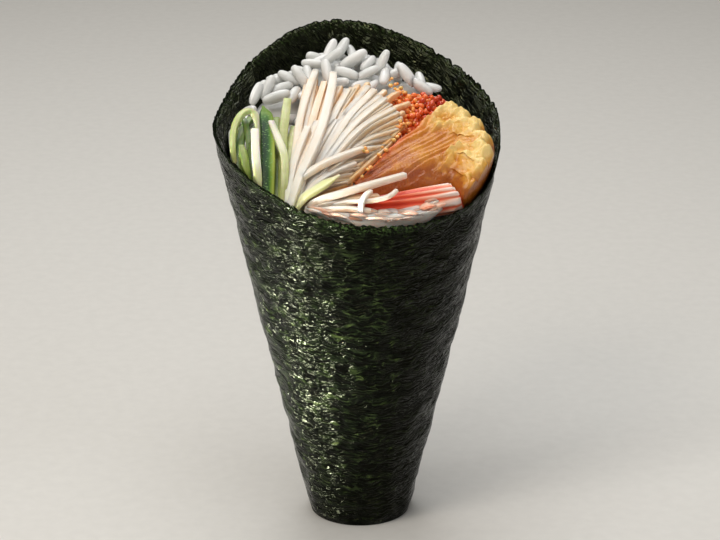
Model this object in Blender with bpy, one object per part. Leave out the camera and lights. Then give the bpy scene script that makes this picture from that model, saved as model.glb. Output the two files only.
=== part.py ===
"""Crab hand roll: a cone of toasted seaweed filled with rice and its toppings.

The toppings are cucumber, white shreds, roe, a tempura leaf, crab stick and crab flakes. Sizes are in
millimetres and degrees, and finish() scales each mesh to metres. The origin is the centre of the flat foot
and +Z is up. The mouth is cut on a slant, low at the front (-Y) and high at the back (+Y). A lift is a height
above the slanted plane of the mouth.
"""

import math
import random

import bmesh
import bpy
from mathutils import Euler, Vector
from mathutils.bvhtree import BVHTree

MILLIMETRE = 0.001
GAP = 0.3
SMOOTH_ANGLE = 40.0

# The wrap: outer radius = FOOT_RADIUS + FLARE * z.
FOOT_RADIUS = 12.6
FLARE = 0.2246
WALL = 1.0
FLOOR = 1.6
LAP_STEP = 0.5
LAP_BEARING = 100.0
LAP_SLANT = 38.0
LAP_EDGE_WIDTH = 0.8
INNER_EDGE_BEARING = 84.0
INNER_LAP_STEP = 0.3
FOOT_BEVEL = 0.7
# Waves round the wrap: depth, waves in a turn, and how far each slants with height.
RIPPLES = ((0.16, 5.0, 0.05), (0.10, 9.0, -0.08))
WRAP_COLUMNS = 60
OUTER_RINGS = 8
INNER_RINGS = 5
# Height of the rim round the mouth: MOUTH_Z plus sine and cosine waves one to four times round.
MOUTH_Z = 95.6
RIM_SINES = (13.78, 0.90, -0.74, 0.74)
RIM_COSINES = (-2.74, -1.72, 0.63, 0.16)
RIM_JAG = 0.35

# The plane of the mouth rises to the back and falls to the right.
MOUTH_PITCH = 0.406
MOUTH_ROLL = -0.08

# The rice: a flat bed under the toppings, and a bank of loose grains behind them. The bank's crest runs
# BANK_CREST from the axis, and BANK_PEAK further at its peak. Past it the rice falls away from the seaweed.
BED_LIFT = -6.0
BANK_LIFT = -1.6
BANK_EDGE = 11.4
BANK_EDGE_SLOPE = 0.345
BANK_RAMP = 5.0
BANK_CREST = 25.0
BANK_PEAK = 4.5
BANK_PEAK_BEARING = 101.0
BANK_PEAK_WIDTH = 15.0
BANK_FALL = 8.0
BANK_FALL_WIDTH = 6.0
HOLLOW_SIDES = (28.0, 160.0)
HOLLOW_RAMP = 12.0
GRAIN_LENGTH = 6.6
GRAIN_WIDTH = 2.8
GRAIN_SPACING = 4.5
GRAIN_TILT = 22.0
GRAIN_OUT_OF_WALL = 3.4

# The white shreds: a fan of cut strips from one foot at the front left.
FAN_FOOT = (-14.6, -24.2)
FAN_BEARINGS = (84.0, 33.0)
FAN_REACH = 41.0
FAN_REACH_LOSS = 25.0
FAN_STRIPS = 15
FAN_WIDTH = 1.9
FAN_STARTS = (3.0, 17.0, 9.0, 17.0)
STRIP_DEPTH = 1.7

# The crab stick: x, y and lift along its middle, from the end under the shreds to the cut end.
STICK_PATH = ((-2.0, -24.2, -2.9), (10.2, -21.3, -2.1), (21.4, -17.9, -1.9))
STICK_WIDTH = 6.0
STICK_DEPTH = 6.6
FLAKE_BEARINGS = (-106.0, -90.0, -74.0, -60.0)
FLAKES = 9

# The tempura: a battered leaf of crab, ribbed from its tip and ruffled round its far edge.
TEMPURA_TIP = (-3.0, -20.0)
TEMPURA_RIBS = 9
RIB_DEPTH = 0.5
RUFFLE_RISE = 2.0

# The roe: its outline is pairs of bearing and distance round its middle.
ROE_WIDTH = 1.7
ROE_SPACING = 2.15
ROE_OVER_RICE = 1.4
ROE_MIDDLE = (12.4, 9.4)
ROE_OUTLINE = ((-90, 7.5), (-60, 5.6), (-30, 6.0), (0, 9.6), (30, 10.0), (60, 7.4), (90, 7.2), (120, 8.2),
               (150, 7.4), (180, 6.2), (210, 8.8), (240, 13.0), (270, 7.5))

CLEAR_OF_WALL = 0.55


def smooth_step(value):
    value = min(1.0, max(0.0, value))
    return value * value * (3.0 - 2.0 * value)


def mouth(x, y):
    return MOUTH_Z + MOUTH_PITCH * y + MOUTH_ROLL * x


def at(x, y, lift):
    return Vector((x, y, mouth(x, y) + lift))


def path_at(*places):
    """Points along a piece, each given by its x, y and lift."""
    return [at(*place) for place in places]


def toward(origin, bearing, distance):
    angle = math.radians(bearing)
    return origin[0] + distance * math.cos(angle), origin[1] + distance * math.sin(angle)


def ripple(bearing, z):
    """The slight waviness of a sheet rolled by hand."""
    angle = math.radians(bearing)
    return sum(depth * math.sin(waves * angle + slant * z) for depth, waves, slant in RIPPLES)


def turn_left(bearing, edge):
    """How much of a turn is left from a bearing to a sheet's edge, from 1 just past it down to 0."""
    return 1.0 - ((bearing - edge) / 360.0) % 1.0


def room(z):
    """The radius that is free inside the wrap at a height."""
    return FOOT_RADIUS - WALL + FLARE * z - CLEAR_OF_WALL


def room_at_lift(bearing, lift):
    """The free radius where a surface at this lift meets the wall."""
    angle = math.radians(bearing)
    slope = MOUTH_PITCH * math.sin(angle) + MOUTH_ROLL * math.cos(angle)
    return room(MOUTH_Z + lift) / (1.0 - FLARE * slope)


def keep_in_wrap(bm):
    """Presses what would cross the seaweed flat against it."""
    for vert in bm.verts:
        reach = math.hypot(vert.co.x, vert.co.y)
        free = room(vert.co.z)
        if reach > free:
            vert.co.x *= free / reach
            vert.co.y *= free / reach


def ball(bm, columns, rings, place):
    """Adds a UV sphere and puts each vertex at place(ring, column). Rings 0 and rings + 1 are the poles."""
    made = bmesh.ops.create_uvsphere(bm, u_segments=columns, v_segments=rings + 1, radius=1.0)
    for vert in made["verts"]:
        ring = round(math.acos(max(-1.0, min(1.0, vert.co.z))) / math.pi * (rings + 1))
        column = round(math.atan2(vert.co.y, vert.co.x) / (2.0 * math.pi) * columns) % columns
        vert.co = place(ring, column)


def smooth_path(points, stations):
    """Points at even steps along a smooth curve through the given ones."""
    ends = [points[0] * 2 - points[1], *points, points[-1] * 2 - points[-2]]
    path = []
    for station in range(stations):
        along = station / (stations - 1) * (len(points) - 1)
        span = min(int(along), len(points) - 2)
        t = along - span
        a, b, c, d = ends[span:span + 4]
        turned = b * 2 + (c - a) * t + (a * 2 - b * 5 + c * 4 - d) * t**2 + (b * 3 - a - c * 3 + d) * t**3
        path.append(turned / 2)
    return path


def swept(bm, path, section):
    """A closed bar along a path. section.corner(share, column) is a corner's offset to the side and up."""
    rings = len(path)
    columns = section.columns

    def place(ring, column):
        if ring == 0:
            return path[0]
        if ring > rings:
            return path[-1]
        here = path[ring - 1]
        forward = path[min(ring, rings - 1)] - path[max(ring - 2, 0)]
        side = forward.cross(Vector((0, 0, 1))).normalized()
        up = side.cross(forward).normalized()
        offset = section.corner((ring - 1) / (rings - 1), column)
        return here + side * offset[0] + up * offset[1]

    ball(bm, columns, rings, place)


class CutStrip:
    """The section of a strip cut with a knife: four corners, narrower at its two ends."""

    columns = 4

    def __init__(self, width, depth, tip=0.85, foot=0.9):
        self.width = width
        self.depth = depth
        self.tip = tip
        self.foot = foot

    def corner(self, share, column):
        scale = self.foot + (1.0 - self.foot) * smooth_step(share / 0.15)
        scale *= self.tip + (1.0 - self.tip) * smooth_step((1.0 - share) / 0.12)
        angle = math.radians(45.0 + 90.0 * column)
        half_diagonal = scale / math.sqrt(2)
        return math.cos(angle) * half_diagonal * self.width, math.sin(angle) * half_diagonal * self.depth


class StickSection:
    """The section of a crab stick: flat below and lobed above by its fibres, growing to the cut end."""

    columns = 24
    lobes = 9

    def __init__(self, width, depth):
        self.width = width
        self.depth = depth

    def corner(self, share, column):
        angle = 2.0 * math.pi * column / self.columns
        grow = 0.35 + 0.65 * smooth_step(share / 0.75)
        lobe = 1.0 + 0.05 * math.cos(self.lobes * angle)
        side = math.copysign(abs(math.cos(angle)) ** 0.7, math.cos(angle))
        up = math.copysign(abs(math.sin(angle)) ** 0.8, math.sin(angle))
        return side * lobe * grow * self.width / 2, up * lobe * self.depth / 2 * (0.75 + 0.25 * grow)


def mesh_in_metres(bm, name):
    """Turns a closed bmesh in millimetres into a mesh in metres with its faces outward."""
    bmesh.ops.recalc_face_normals(bm, faces=bm.faces)
    if bm.calc_volume(signed=True) < 0:
        bmesh.ops.reverse_faces(bm, faces=bm.faces)
    bmesh.ops.scale(bm, vec=(MILLIMETRE,) * 3, verts=bm.verts)
    mesh = bpy.data.meshes.new(name)
    bm.to_mesh(mesh)
    bm.free()
    return mesh


def finish(bm, name, colour, roughness):
    """Makes the object of a node from its bmesh, with its own material."""
    mesh = mesh_in_metres(bm, name)
    mesh.shade_smooth()
    mesh.set_sharp_from_angle(angle=math.radians(SMOOTH_ANGLE))
    material = bpy.data.materials.new(name + "_finish")
    material.use_nodes = True
    shader = material.node_tree.nodes["Principled BSDF"]
    shader.inputs["Base Color"].default_value = (*colour, 1.0)
    shader.inputs["Roughness"].default_value = roughness
    shader.inputs["Metallic"].default_value = 0.0
    mesh.materials.append(material)
    item = bpy.data.objects.new(name, mesh)
    bpy.context.scene.collection.objects.link(item)
    return item


def loose_piece(make):
    """An object of one small piece in millimetres scaled to metres, ready to be fused to its core."""
    bm = bmesh.new()
    make(bm)
    keep_in_wrap(bm)
    return bpy.data.objects.new("piece", mesh_in_metres(bm, "piece"))


def keep_outer_shell(mesh):
    """Fills the small hollows that fusing seals, by leaving only the largest connected surface."""
    bm = bmesh.new()
    bm.from_mesh(mesh)
    left = set(bm.faces)
    shells = []
    while left:
        shell = {left.pop()}
        front = list(shell)
        while front:
            face = front.pop()
            for edge in face.edges:
                for other in edge.link_faces:
                    if len(edge.link_faces) == 2 and other in left:
                        left.discard(other)
                        shell.add(other)
                        front.append(other)
        shells.append(shell)
    shells.sort(key=len)
    for shell in shells[:-1]:
        bmesh.ops.delete(bm, geom=list(shell), context="FACES")
    bm.to_mesh(mesh)
    bm.free()


def fuse(core, pieces):
    """Joins the pieces to their core by one Boolean union on a collection, then removes them."""
    bundle = bpy.data.collections.new(core.name + "_pieces")
    bpy.context.scene.collection.children.link(bundle)
    for piece in pieces:
        bundle.objects.link(piece)
    union = core.modifiers.new("Fuse", "BOOLEAN")
    union.operation = "UNION"
    union.operand_type = "COLLECTION"
    union.collection = bundle
    union.solver = "EXACT"
    bpy.context.view_layer.objects.active = core
    bpy.ops.object.modifier_apply(modifier=union.name)
    for piece in pieces:
        bpy.data.objects.remove(piece)
    bpy.data.collections.remove(bundle)
    keep_outer_shell(core.data)
    core.data.shade_smooth()
    core.data.set_sharp_from_angle(angle=math.radians(SMOOTH_ANGLE))


def sector_slab(bm, tip, columns, rows, bearing, reach, top):
    """A slab over a sector of the bed, spread from its tip.

    bearing, reach and top each take a vertex's shares of the way across and along the sector.
    """
    made = bmesh.ops.create_grid(bm, x_segments=columns, y_segments=rows, size=1.0)
    for vert in made["verts"]:
        across = (vert.co.x + 1.0) / 2.0
        along = (vert.co.y + 1.0) / 2.0
        near, far = reach(across, along)
        x, y = toward(tip, bearing(across, along), near + (far - near) * along)
        vert.co = at(x, y, top(across, along))
    keep_in_wrap(bm)
    rim = [edge for edge in bm.edges if edge.is_boundary]
    skirt = bmesh.ops.extrude_edge_only(bm, edges=rim)["geom"]
    for _ in range(3):
        for vert in skirt:
            if isinstance(vert, bmesh.types.BMVert):
                vert.co = at(vert.co.x, vert.co.y, BED_LIFT + GAP)
        keep_in_wrap(bm)
    hem = [edge for edge in skirt if isinstance(edge, bmesh.types.BMEdge) and edge.is_boundary]
    bmesh.ops.contextual_create(bm, geom=hem)


def rim_height(bearing):
    angle = math.radians(bearing)
    height = MOUTH_Z
    for wave, (sine, cosine) in enumerate(zip(RIM_SINES, RIM_COSINES), start=1):
        height += sine * math.sin(wave * angle) + cosine * math.cos(wave * angle)
    return height


def make_wrap():
    """The seaweed: one skin up the outside, over the rim and down the inside, with a folded flat foot."""
    draw = random.Random(3)
    jags = [draw.uniform(-RIM_JAG, RIM_JAG) for _ in range(WRAP_COLUMNS)]
    rings = 1 + OUTER_RINGS + INNER_RINGS

    def place(ring, column):
        if ring == 0:
            return Vector((0, 0, 0))
        if ring > rings:
            return Vector((0, 0, FLOOR))
        outer = ring <= 1 + OUTER_RINGS
        if outer:
            share = max(0, ring - 2) / (OUTER_RINGS - 1)
        else:
            share = 1.0 - (ring - 2 - OUTER_RINGS) / (INNER_RINGS - 1)
        turned = 360.0 * column / WRAP_COLUMNS if column < WRAP_COLUMNS - 1 else 360.0 - LAP_EDGE_WIDTH
        bearing = turned + LAP_BEARING + LAP_SLANT * share
        top = rim_height(bearing) + jags[column]
        if outer:
            z = top * share
            radius = FOOT_RADIUS + FLARE * z + ripple(bearing, z)
            radius += LAP_STEP * (1.0 - turned / 360.0 - 0.5) * smooth_step(share / 0.2)
        else:
            z = FLOOR + (top - FLOOR) * share
            radius = FOOT_RADIUS - WALL + FLARE * z + ripple(bearing, z)
            radius -= INNER_LAP_STEP * turn_left(bearing, INNER_EDGE_BEARING) * smooth_step(share / 0.5)
        if ring == 1:
            radius -= FOOT_BEVEL
        if ring == 2:
            z = FOOT_BEVEL
        return Vector((*toward((0, 0), bearing, radius), z))

    bm = bmesh.new()
    ball(bm, WRAP_COLUMNS, rings, place)
    return finish(bm, "nori_wrap", (0.012, 0.022, 0.008), 0.38)


def cucumber_strips():
    """The cucumber strips, the first hooked over: path from the foot, width, depth and share at the tip."""
    hook = [at(-28.6, -13.5, -2.0), at(-29.2, -10.4, 1.5), at(-28.4, -7.0, 4.4)]
    for step in range(4):
        angle = math.radians(150.0 - 55.0 * step)
        hook.append(at(-25.9 + 2.3 * math.cos(angle), -4.9 + 2.3 * math.sin(angle), 5.0 - 0.3 * step))
    hook.append(at(-23.5, -8.5, 0.5))
    yield hook, 1.3, 1.3, 0.9
    yield path_at((-25.4, -11.0, -2.5), (-26.0, -5.6, 1.0), (-27.2, -1.3, 1.8)), 1.3, 1.2, 0.5
    yield path_at((-25.3, -18.4, -2.5), (-26.2, -16.0, 1.2), (-27.0, -12.0, 2.4)), 1.9, 1.5, 0.7
    yield path_at((-23.2, -21.0, -2.5), (-23.6, -16.2, 3.0), (-24.0, -9.0, 4.4)), 1.8, 1.6, 0.95
    yield path_at((-21.9, -21.0, -2.5), (-22.2, -12.2, 0.6), (-22.1, -6.9, 1.4)), 1.2, 1.2, 0.8
    skin_strip = path_at((-20.4, -21.6, -2.0), (-20.6, -11.2, 2.2), (-21.4, -3.2, 2.8), (-22.4, 1.2, 2.8))
    yield skin_strip, 2.6, 1.8, 0.15
    tall_strip = path_at((-18.3, -21.8, -2.0), (-18.0, -7.8, 1.4), (-17.4, -3.1, 2.4), (-16.9, 4.4, 2.6))
    yield tall_strip, 2.0, 1.7, 0.9
    near_strip = path_at((-17.7, -22.8, -1.8), (-17.3, -16.5, 3.6), (-18.6, -12.7, 4.3), (-20.6, -6.2, 4.6))
    yield near_strip, 1.7, 1.5, 0.9


def make_cucumber():
    """Cucumber strips with their skin on, side by side against the left wall on their packed ends."""

    def bearing(across, along):
        return 122.0 - 40.0 * across

    def reach(across, along):
        return 3.0, 26.0 + 4.0 * across

    def top(across, along):
        return -1.8 + 2.0 * math.sin(math.pi * min(1.0, 1.1 * along))

    bm = bmesh.new()
    sector_slab(bm, (-19.6, -26.5), 5, 6, bearing, reach, top)
    core = finish(bm, "cucumber_strips", (0.50, 0.62, 0.22), 0.35)
    pieces = []
    for points, width, depth, tip in cucumber_strips():
        path = smooth_path(points, 12 if len(points) > 5 else 8)
        pieces.append(loose_piece(lambda bm: swept(bm, path, CutStrip(width, depth, tip))))
    fuse(core, pieces)
    return core


def fan_reach(bearing):
    """The fan's outline: its strips are shorter toward the front."""
    turned = (FAN_BEARINGS[0] - bearing) / (FAN_BEARINGS[0] - FAN_BEARINGS[1])
    return FAN_REACH - FAN_REACH_LOSS * turned**3


def fan_lift(along):
    """The fan rises from its foot, crests past its middle and sinks to its tips."""
    return -2.6 + 6.0 * smooth_step(along / 0.55) - 1.4 * smooth_step((along - 0.65) / 0.35)


def fan_strip(bearing, start, reach, lift, bend):
    """Four points along a strip of the fan, from where it comes out of the heap to its tip."""
    points = []
    for step in range(4):
        distance = start + (reach - start) * step / 3
        along = distance / reach
        x, y = toward(FAN_FOOT, bearing + bend * (2.0 * along - 1.0), distance)
        points.append(at(x, y, fan_lift(along) + lift))
    return points


def top_shreds():
    """The strips that lie over the fan: path, width and depth."""
    yield path_at((-14.4, -23.0, -0.5), (-10.2, -12.1, 4.4), (-7.6, -1.0, 4.6), (-6.4, 14.6, 2.8)), 2.0, 1.8
    yield path_at((-14.6, -21.0, 0.2), (-13.6, -13.1, 3.0), (-11.7, -6.2, 4.2)), 1.8, 1.7
    yield path_at((-12.0, -20.5, 3.2), (-5.9, -16.6, 4.6), (0.7, -12.6, 5.0)), 1.8, 1.7
    yield path_at((-13.2, -21.6, -3.0), (-11.2, -23.6, 1.2), (-5.6, -21.2, 2.8)), 2.1, 1.5
    yield path_at((-13.2, -22.0, -3.4), (-4.5, -25.0, 2.4), (0.9, -23.3, 3.4), (10.4, -18.6, 3.6)), 2.0, 1.7
    yield path_at((-13.0, -22.4, -3.6), (-2.7, -26.8, 1.9), (2.9, -26.7, 2.9), (8.4, -24.4, 3.8)), 1.3, 1.1
    yield path_at((2.4, -24.4, 3.7), (0.9, -26.9, 3.0), (-0.2, -28.2, 1.2)), 1.3, 1.1


def make_white_shreds():
    """Cut white strips fanned over the middle of the roll, on the packed shreds below them."""

    def bearing(across, along):
        return FAN_BEARINGS[1] + 4.0 + (FAN_BEARINGS[0] - FAN_BEARINGS[1] - 7.0) * across

    def reach(across, along):
        return 2.0, 0.80 * fan_reach(bearing(across, along))

    def top(across, along):
        return fan_lift(0.05 + 0.78 * along) - 1.0

    bm = bmesh.new()
    sector_slab(bm, FAN_FOOT, 7, 7, bearing, reach, top)
    core = finish(bm, "white_shreds", (0.86, 0.78, 0.68), 0.4)
    draw = random.Random(11)
    pieces = []
    for layer in range(2):
        count = FAN_STRIPS - layer
        for strip in range(count):
            spread = (strip + 0.5 * layer) / (FAN_STRIPS - 1)
            bearing_here = FAN_BEARINGS[0] - (FAN_BEARINGS[0] - FAN_BEARINGS[1]) * spread
            reach_here = fan_reach(bearing_here) * draw.uniform(0.9, 1.0)
            lift = -0.9 + 0.9 * layer + draw.uniform(-0.3, 0.3)
            start = FAN_STARTS[strip % len(FAN_STARTS)]
            path = smooth_path(fan_strip(bearing_here, start, reach_here, lift, draw.uniform(-1.2, 1.2)), 6)
            width = FAN_WIDTH * draw.uniform(0.85, 1.1)
            pieces.append(loose_piece(lambda bm: swept(bm, path, CutStrip(width, STRIP_DEPTH))))
    for points, width, depth in top_shreds():
        path = smooth_path(points, 8)
        pieces.append(loose_piece(lambda bm: swept(bm, path, CutStrip(width, depth))))
    fuse(core, pieces)
    return core


def make_tempura():
    """A battered leaf of crab. Ribs run from its tip, and its crust is ruffled round the far edge."""

    def bearing(across, along):
        low = 16.0 - 12.0 * smooth_step((along - 0.78) / 0.10)
        high = 53.0 - 4.0 * along * along
        return low + (high - low) * across

    def reach(across, along):
        here = bearing(across, 1.0)
        far = 38.6 - 0.0075 * (38.0 - here) ** 2 - 0.5 * max(0.0, here - 44.0)
        return 3.0, far + 0.7 * math.sin(2.0 * math.pi * 5.5 * across)

    def top(across, along):
        body = 0.2 + 1.9 * smooth_step(along / 0.5)
        crest = smooth_step((along - 0.60) / 0.16) * (1.0 - 0.75 * smooth_step((along - 0.9) / 0.1))
        waves = 0.55 * math.sin(2.0 * math.pi * (4.5 * across + 1.3 * along))
        waves += 0.45 * math.sin(2.0 * math.pi * (2.2 * along - 2.6 * across))
        ribs = RIB_DEPTH * math.cos(2.0 * math.pi * TEMPURA_RIBS * across)
        ribs *= smooth_step(along / 0.12) * (1.0 - smooth_step((along - 0.55) / 0.2))
        return body + RUFFLE_RISE * crest + waves * smooth_step((along - 0.55) / 0.2) + ribs

    bm = bmesh.new()
    sector_slab(bm, TEMPURA_TIP, 4 * TEMPURA_RIBS, 16, bearing, reach, top)
    return finish(bm, "crab_tempura", (0.80, 0.50, 0.18), 0.45)


def make_stick():
    """A length of crab stick along the front wall, cut across at the right and tapering under the shreds."""
    bm = bmesh.new()
    swept(bm, smooth_path(path_at(*STICK_PATH), 10), StickSection(STICK_WIDTH, STICK_DEPTH))
    keep_in_wrap(bm)
    return finish(bm, "crab_stick", (0.78, 0.18, 0.08), 0.4)


def make_flakes():
    """Fine pink and white flakes of crab along the front rim, on a low ridge pressed against the wall."""

    def along_rim(bearing, inset, lift):
        reach = room_at_lift(bearing, lift) - inset
        return at(*toward((0, 0), bearing, reach), lift)

    bm = bmesh.new()
    ridge = smooth_path([along_rim(bearing, 1.5, -3.1) for bearing in FLAKE_BEARINGS], 9)
    swept(bm, ridge, CutStrip(2.3, 4.2, tip=0.35, foot=0.7))
    keep_in_wrap(bm)
    core = finish(bm, "crab_flakes", (0.88, 0.66, 0.60), 0.4)
    draw = random.Random(23)
    pieces = []
    for flake in range(FLAKES):
        middle = -103.0 + 4.8 * flake
        half = draw.uniform(5.0, 8.0)
        inset = draw.uniform(0.8, 1.9) * (1.0 - 0.04 * flake)
        crest = along_rim(middle, inset, -1.2 + draw.uniform(0.0, 0.5))
        ends = [along_rim(middle - half, inset + 0.4, -2.4), along_rim(middle + half, inset - 0.3, -2.4)]
        path = smooth_path([ends[0], crest, ends[1]], 5)
        pieces.append(loose_piece(lambda bm: swept(bm, path, CutStrip(1.1, 1.0, tip=0.5))))
    fuse(core, pieces)
    return core


def past_crest(x, y):
    """How far down the bank's outer slope a place is: 0 on the heap and 1 at the foot by the seaweed."""
    bearing = math.degrees(math.atan2(y, x))
    crest = BANK_CREST + BANK_PEAK * math.exp(-((bearing - BANK_PEAK_BEARING) / BANK_PEAK_WIDTH) ** 2)
    behind = smooth_step((bearing - HOLLOW_SIDES[0]) / HOLLOW_RAMP)
    behind *= smooth_step((HOLLOW_SIDES[1] + HOLLOW_RAMP - bearing) / HOLLOW_RAMP)
    return behind * smooth_step((math.hypot(x, y) - crest) / BANK_FALL_WIDTH)


def bank_lift(x, y):
    """The rice's lift: flat under the toppings, heaped behind them and fallen away from the seaweed."""
    raised = smooth_step((y - BANK_EDGE - BANK_EDGE_SLOPE * x) / BANK_RAMP)
    return BED_LIFT + raised * (BANK_LIFT - BED_LIFT) - BANK_FALL * past_crest(x, y)


class Neighbours:
    """The surfaces that a small piece has to stay clear of, in metres."""

    def __init__(self, items):
        bpy.context.view_layer.update()
        graph = bpy.context.evaluated_depsgraph_get()
        self.trees = [BVHTree.FromObject(item, graph) for item in items]

    def crossed_by(self, piece, swell):
        """Whether a piece, swelled about its middle, touches a neighbour or lies inside one."""
        mesh = piece.data
        middle = sum((vert.co for vert in mesh.vertices), Vector()) / len(mesh.vertices)
        points = [middle + (vert.co - middle) * swell for vert in mesh.vertices]
        hull = BVHTree.FromPolygons(points, [face.vertices[:] for face in mesh.polygons])
        for tree in self.trees:
            if tree.overlap(hull) or self.holds(tree, middle):
                return True
        return False

    def holds(self, tree, point):
        """Whether a point is inside a closed surface: a ray up then leaves it more often than it enters."""
        step = Vector((0, 0, 0.01 * MILLIMETRE))
        leaving = 0
        spot, normal, _, _ = tree.ray_cast(point, Vector((0, 0, 1)))
        while spot is not None:
            leaving += 1 if normal.z > 0 else -1
            spot, normal, _, _ = tree.ray_cast(spot + step, Vector((0, 0, 1)))
        return leaving > 0


def seed_shape(centre, turn, length, width, columns=5, rings=3):
    """A maker of one grain or bead: a ball stretched along its own X axis."""

    def make(bm):
        def place(ring, column):
            polar = math.pi * ring / (rings + 1)
            round_angle = 2.0 * math.pi * column / columns
            across = math.sin(polar) ** 0.8 * width / 2
            side = across * math.cos(round_angle)
            up = across * math.sin(round_angle)
            return centre + turn @ Vector((math.cos(polar) * length / 2, side, up))

        ball(bm, columns, rings, place)

    return make


def scatter(spacing, bounds, draw):
    """Even rows of places, each second row shifted half a step, with a seeded shift of each place."""
    left, right, front, back = bounds
    row = 0
    y = front
    while y < back:
        x = left + (row % 2) * spacing / 2
        while x < right:
            yield x + draw.uniform(-0.25, 0.25) * spacing, y + draw.uniform(-0.25, 0.25) * spacing
            x += spacing
        y += spacing * 0.87
        row += 1


def inside_mouth(x, y, lift, margin):
    return math.hypot(x, y) < room_at_lift(math.degrees(math.atan2(y, x)), lift) - margin


def roe_edge(bearing):
    """How far the roe reaches from its middle."""
    bearing = (bearing + 90.0) % 360.0 - 90.0
    for (start, near), (end, far) in zip(ROE_OUTLINE, ROE_OUTLINE[1:]):
        if bearing <= end:
            return near + (far - near) * smooth_step((bearing - start) / (end - start))
    return ROE_OUTLINE[-1][1]


def make_roe(neighbours):
    """Fish roe in a heap between the tips of the shreds and the tempura: a bare mound with beads fused on."""
    columns = 24
    top_rings = 4

    def place(ring, column):
        bearing = 360.0 * column / columns
        if ring <= top_rings:
            share = ring / top_rings
            x, y = toward(ROE_MIDDLE, bearing, roe_edge(bearing) * share)
            return at(x, y, -1.2 - 2.2 * share**3)
        share = (top_rings + 3 - ring) / 2
        x, y = toward(ROE_MIDDLE, bearing, roe_edge(bearing) * share)
        return at(x, y, max(BED_LIFT, bank_lift(x, y)) + ROE_OVER_RICE)

    bm = bmesh.new()
    ball(bm, columns, top_rings + 2, place)
    core = finish(bm, "roe", (0.82, 0.20, 0.04), 0.2)
    draw = random.Random(31)
    pieces = []
    for x, y in scatter(ROE_SPACING, (2.0, 26.0, -4.0, 21.0), draw):
        from_middle = Vector((x, y)) - Vector(ROE_MIDDLE)
        share = from_middle.length / roe_edge(math.degrees(math.atan2(from_middle.y, from_middle.x)))
        if share > 0.97:
            continue
        width = ROE_WIDTH * draw.uniform(0.85, 1.15)
        turn = Euler((draw.uniform(0, 3), draw.uniform(0, 3), 0)).to_matrix()
        bead = loose_piece(seed_shape(at(x, y, -0.9 - 2.2 * share**3), turn, width, width, 5, 2))
        if neighbours.crossed_by(bead, 1.5):
            bpy.data.objects.remove(bead)
        else:
            pieces.append(bead)
    fuse(core, pieces)
    return core


def make_rice(neighbours):
    """Sushi rice: a packed core that fills the cone, with the grains that show fused on."""
    columns = 40
    top_rings = 11
    side_rings = 3

    def place(ring, column):
        bearing = 360.0 * column / columns
        lift = bank_lift(*toward((0, 0), bearing, room_at_lift(bearing, BANK_LIFT)))
        wall = room_at_lift(bearing, lift)
        if ring <= top_rings:
            x, y = toward((0, 0), bearing, wall * ring / top_rings)
            return at(x, y, bank_lift(x, y))
        share = (ring - top_rings) / side_rings
        bottom = FLOOR + GAP
        if ring > top_rings + side_rings:
            return Vector((0, 0, bottom))
        brim = at(*toward((0, 0), bearing, wall), lift).z
        z = brim + (bottom - brim) * share
        return Vector((*toward((0, 0), bearing, room(z)), z))

    bm = bmesh.new()
    ball(bm, columns, top_rings + side_rings, place)
    core = finish(bm, "rice_heap", (0.78, 0.78, 0.80), 0.35)
    draw = random.Random(47)
    pieces = []
    for x, y in scatter(GRAIN_SPACING, (-35.0, 35.0, -30.0, 36.0), draw):
        lift = bank_lift(x, y)
        margin = 1.2 if y < 0 else GRAIN_OUT_OF_WALL
        if past_crest(x, y) > 0.6 or not inside_mouth(x, y, lift, margin):
            continue
        tilt = draw.uniform(-GRAIN_TILT, GRAIN_TILT)
        turn = Euler((0, math.radians(tilt), math.radians(draw.uniform(0.0, 180.0)))).to_matrix()
        length = GRAIN_LENGTH * draw.uniform(0.88, 1.08)
        width = GRAIN_WIDTH * draw.uniform(0.9, 1.08)
        grain = loose_piece(seed_shape(at(x, y, lift + 0.7), turn, length, width))
        if neighbours.crossed_by(grain, 1.15):
            bpy.data.objects.remove(grain)
        else:
            pieces.append(grain)
    fuse(core, pieces)
    return core


def main():
    for item in list(bpy.data.objects):
        bpy.data.objects.remove(item, do_unlink=True)
    make_wrap()
    cucumber = make_cucumber()
    shreds = make_white_shreds()
    tempura = make_tempura()
    stick = make_stick()
    flakes = make_flakes()
    roe = make_roe(Neighbours([shreds, tempura, cucumber]))
    make_rice(Neighbours([cucumber, shreds, tempura, stick, flakes, roe]))


main()
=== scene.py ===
"""A crab hand roll, dressed over its solids: a cone of toasted seaweed with rice and its toppings in the mouth.

Meshes are worked out in millimetres, on the same slanted mouth plane as the solids, and turned to metres as they
are finished. +Z is up, and the low front of the mouth faces -Y.
"""

import math
import random

import bmesh
import bpy
from mathutils import Euler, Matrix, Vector, noise
from mathutils.bvhtree import BVHTree


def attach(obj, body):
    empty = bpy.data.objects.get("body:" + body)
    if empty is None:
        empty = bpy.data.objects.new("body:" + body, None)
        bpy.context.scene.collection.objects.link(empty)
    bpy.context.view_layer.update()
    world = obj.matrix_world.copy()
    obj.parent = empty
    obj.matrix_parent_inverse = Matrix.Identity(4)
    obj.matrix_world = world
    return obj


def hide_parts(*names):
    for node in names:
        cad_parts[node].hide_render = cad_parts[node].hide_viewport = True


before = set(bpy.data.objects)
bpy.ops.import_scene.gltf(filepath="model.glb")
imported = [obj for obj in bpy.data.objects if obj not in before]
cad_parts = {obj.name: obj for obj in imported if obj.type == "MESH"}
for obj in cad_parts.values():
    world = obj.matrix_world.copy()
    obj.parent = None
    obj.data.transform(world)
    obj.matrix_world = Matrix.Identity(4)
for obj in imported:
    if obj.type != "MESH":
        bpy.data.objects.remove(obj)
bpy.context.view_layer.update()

# The studio. A plain pale floor, a soft key light from the front left, a large soft light overhead, a weak fill
# from the right, one behind, and a low gridded strip at the left that lights the seaweed alone. The camera looks
# down 20 degrees at the low front of the mouth.
MILLIMETRE = 0.001
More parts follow.
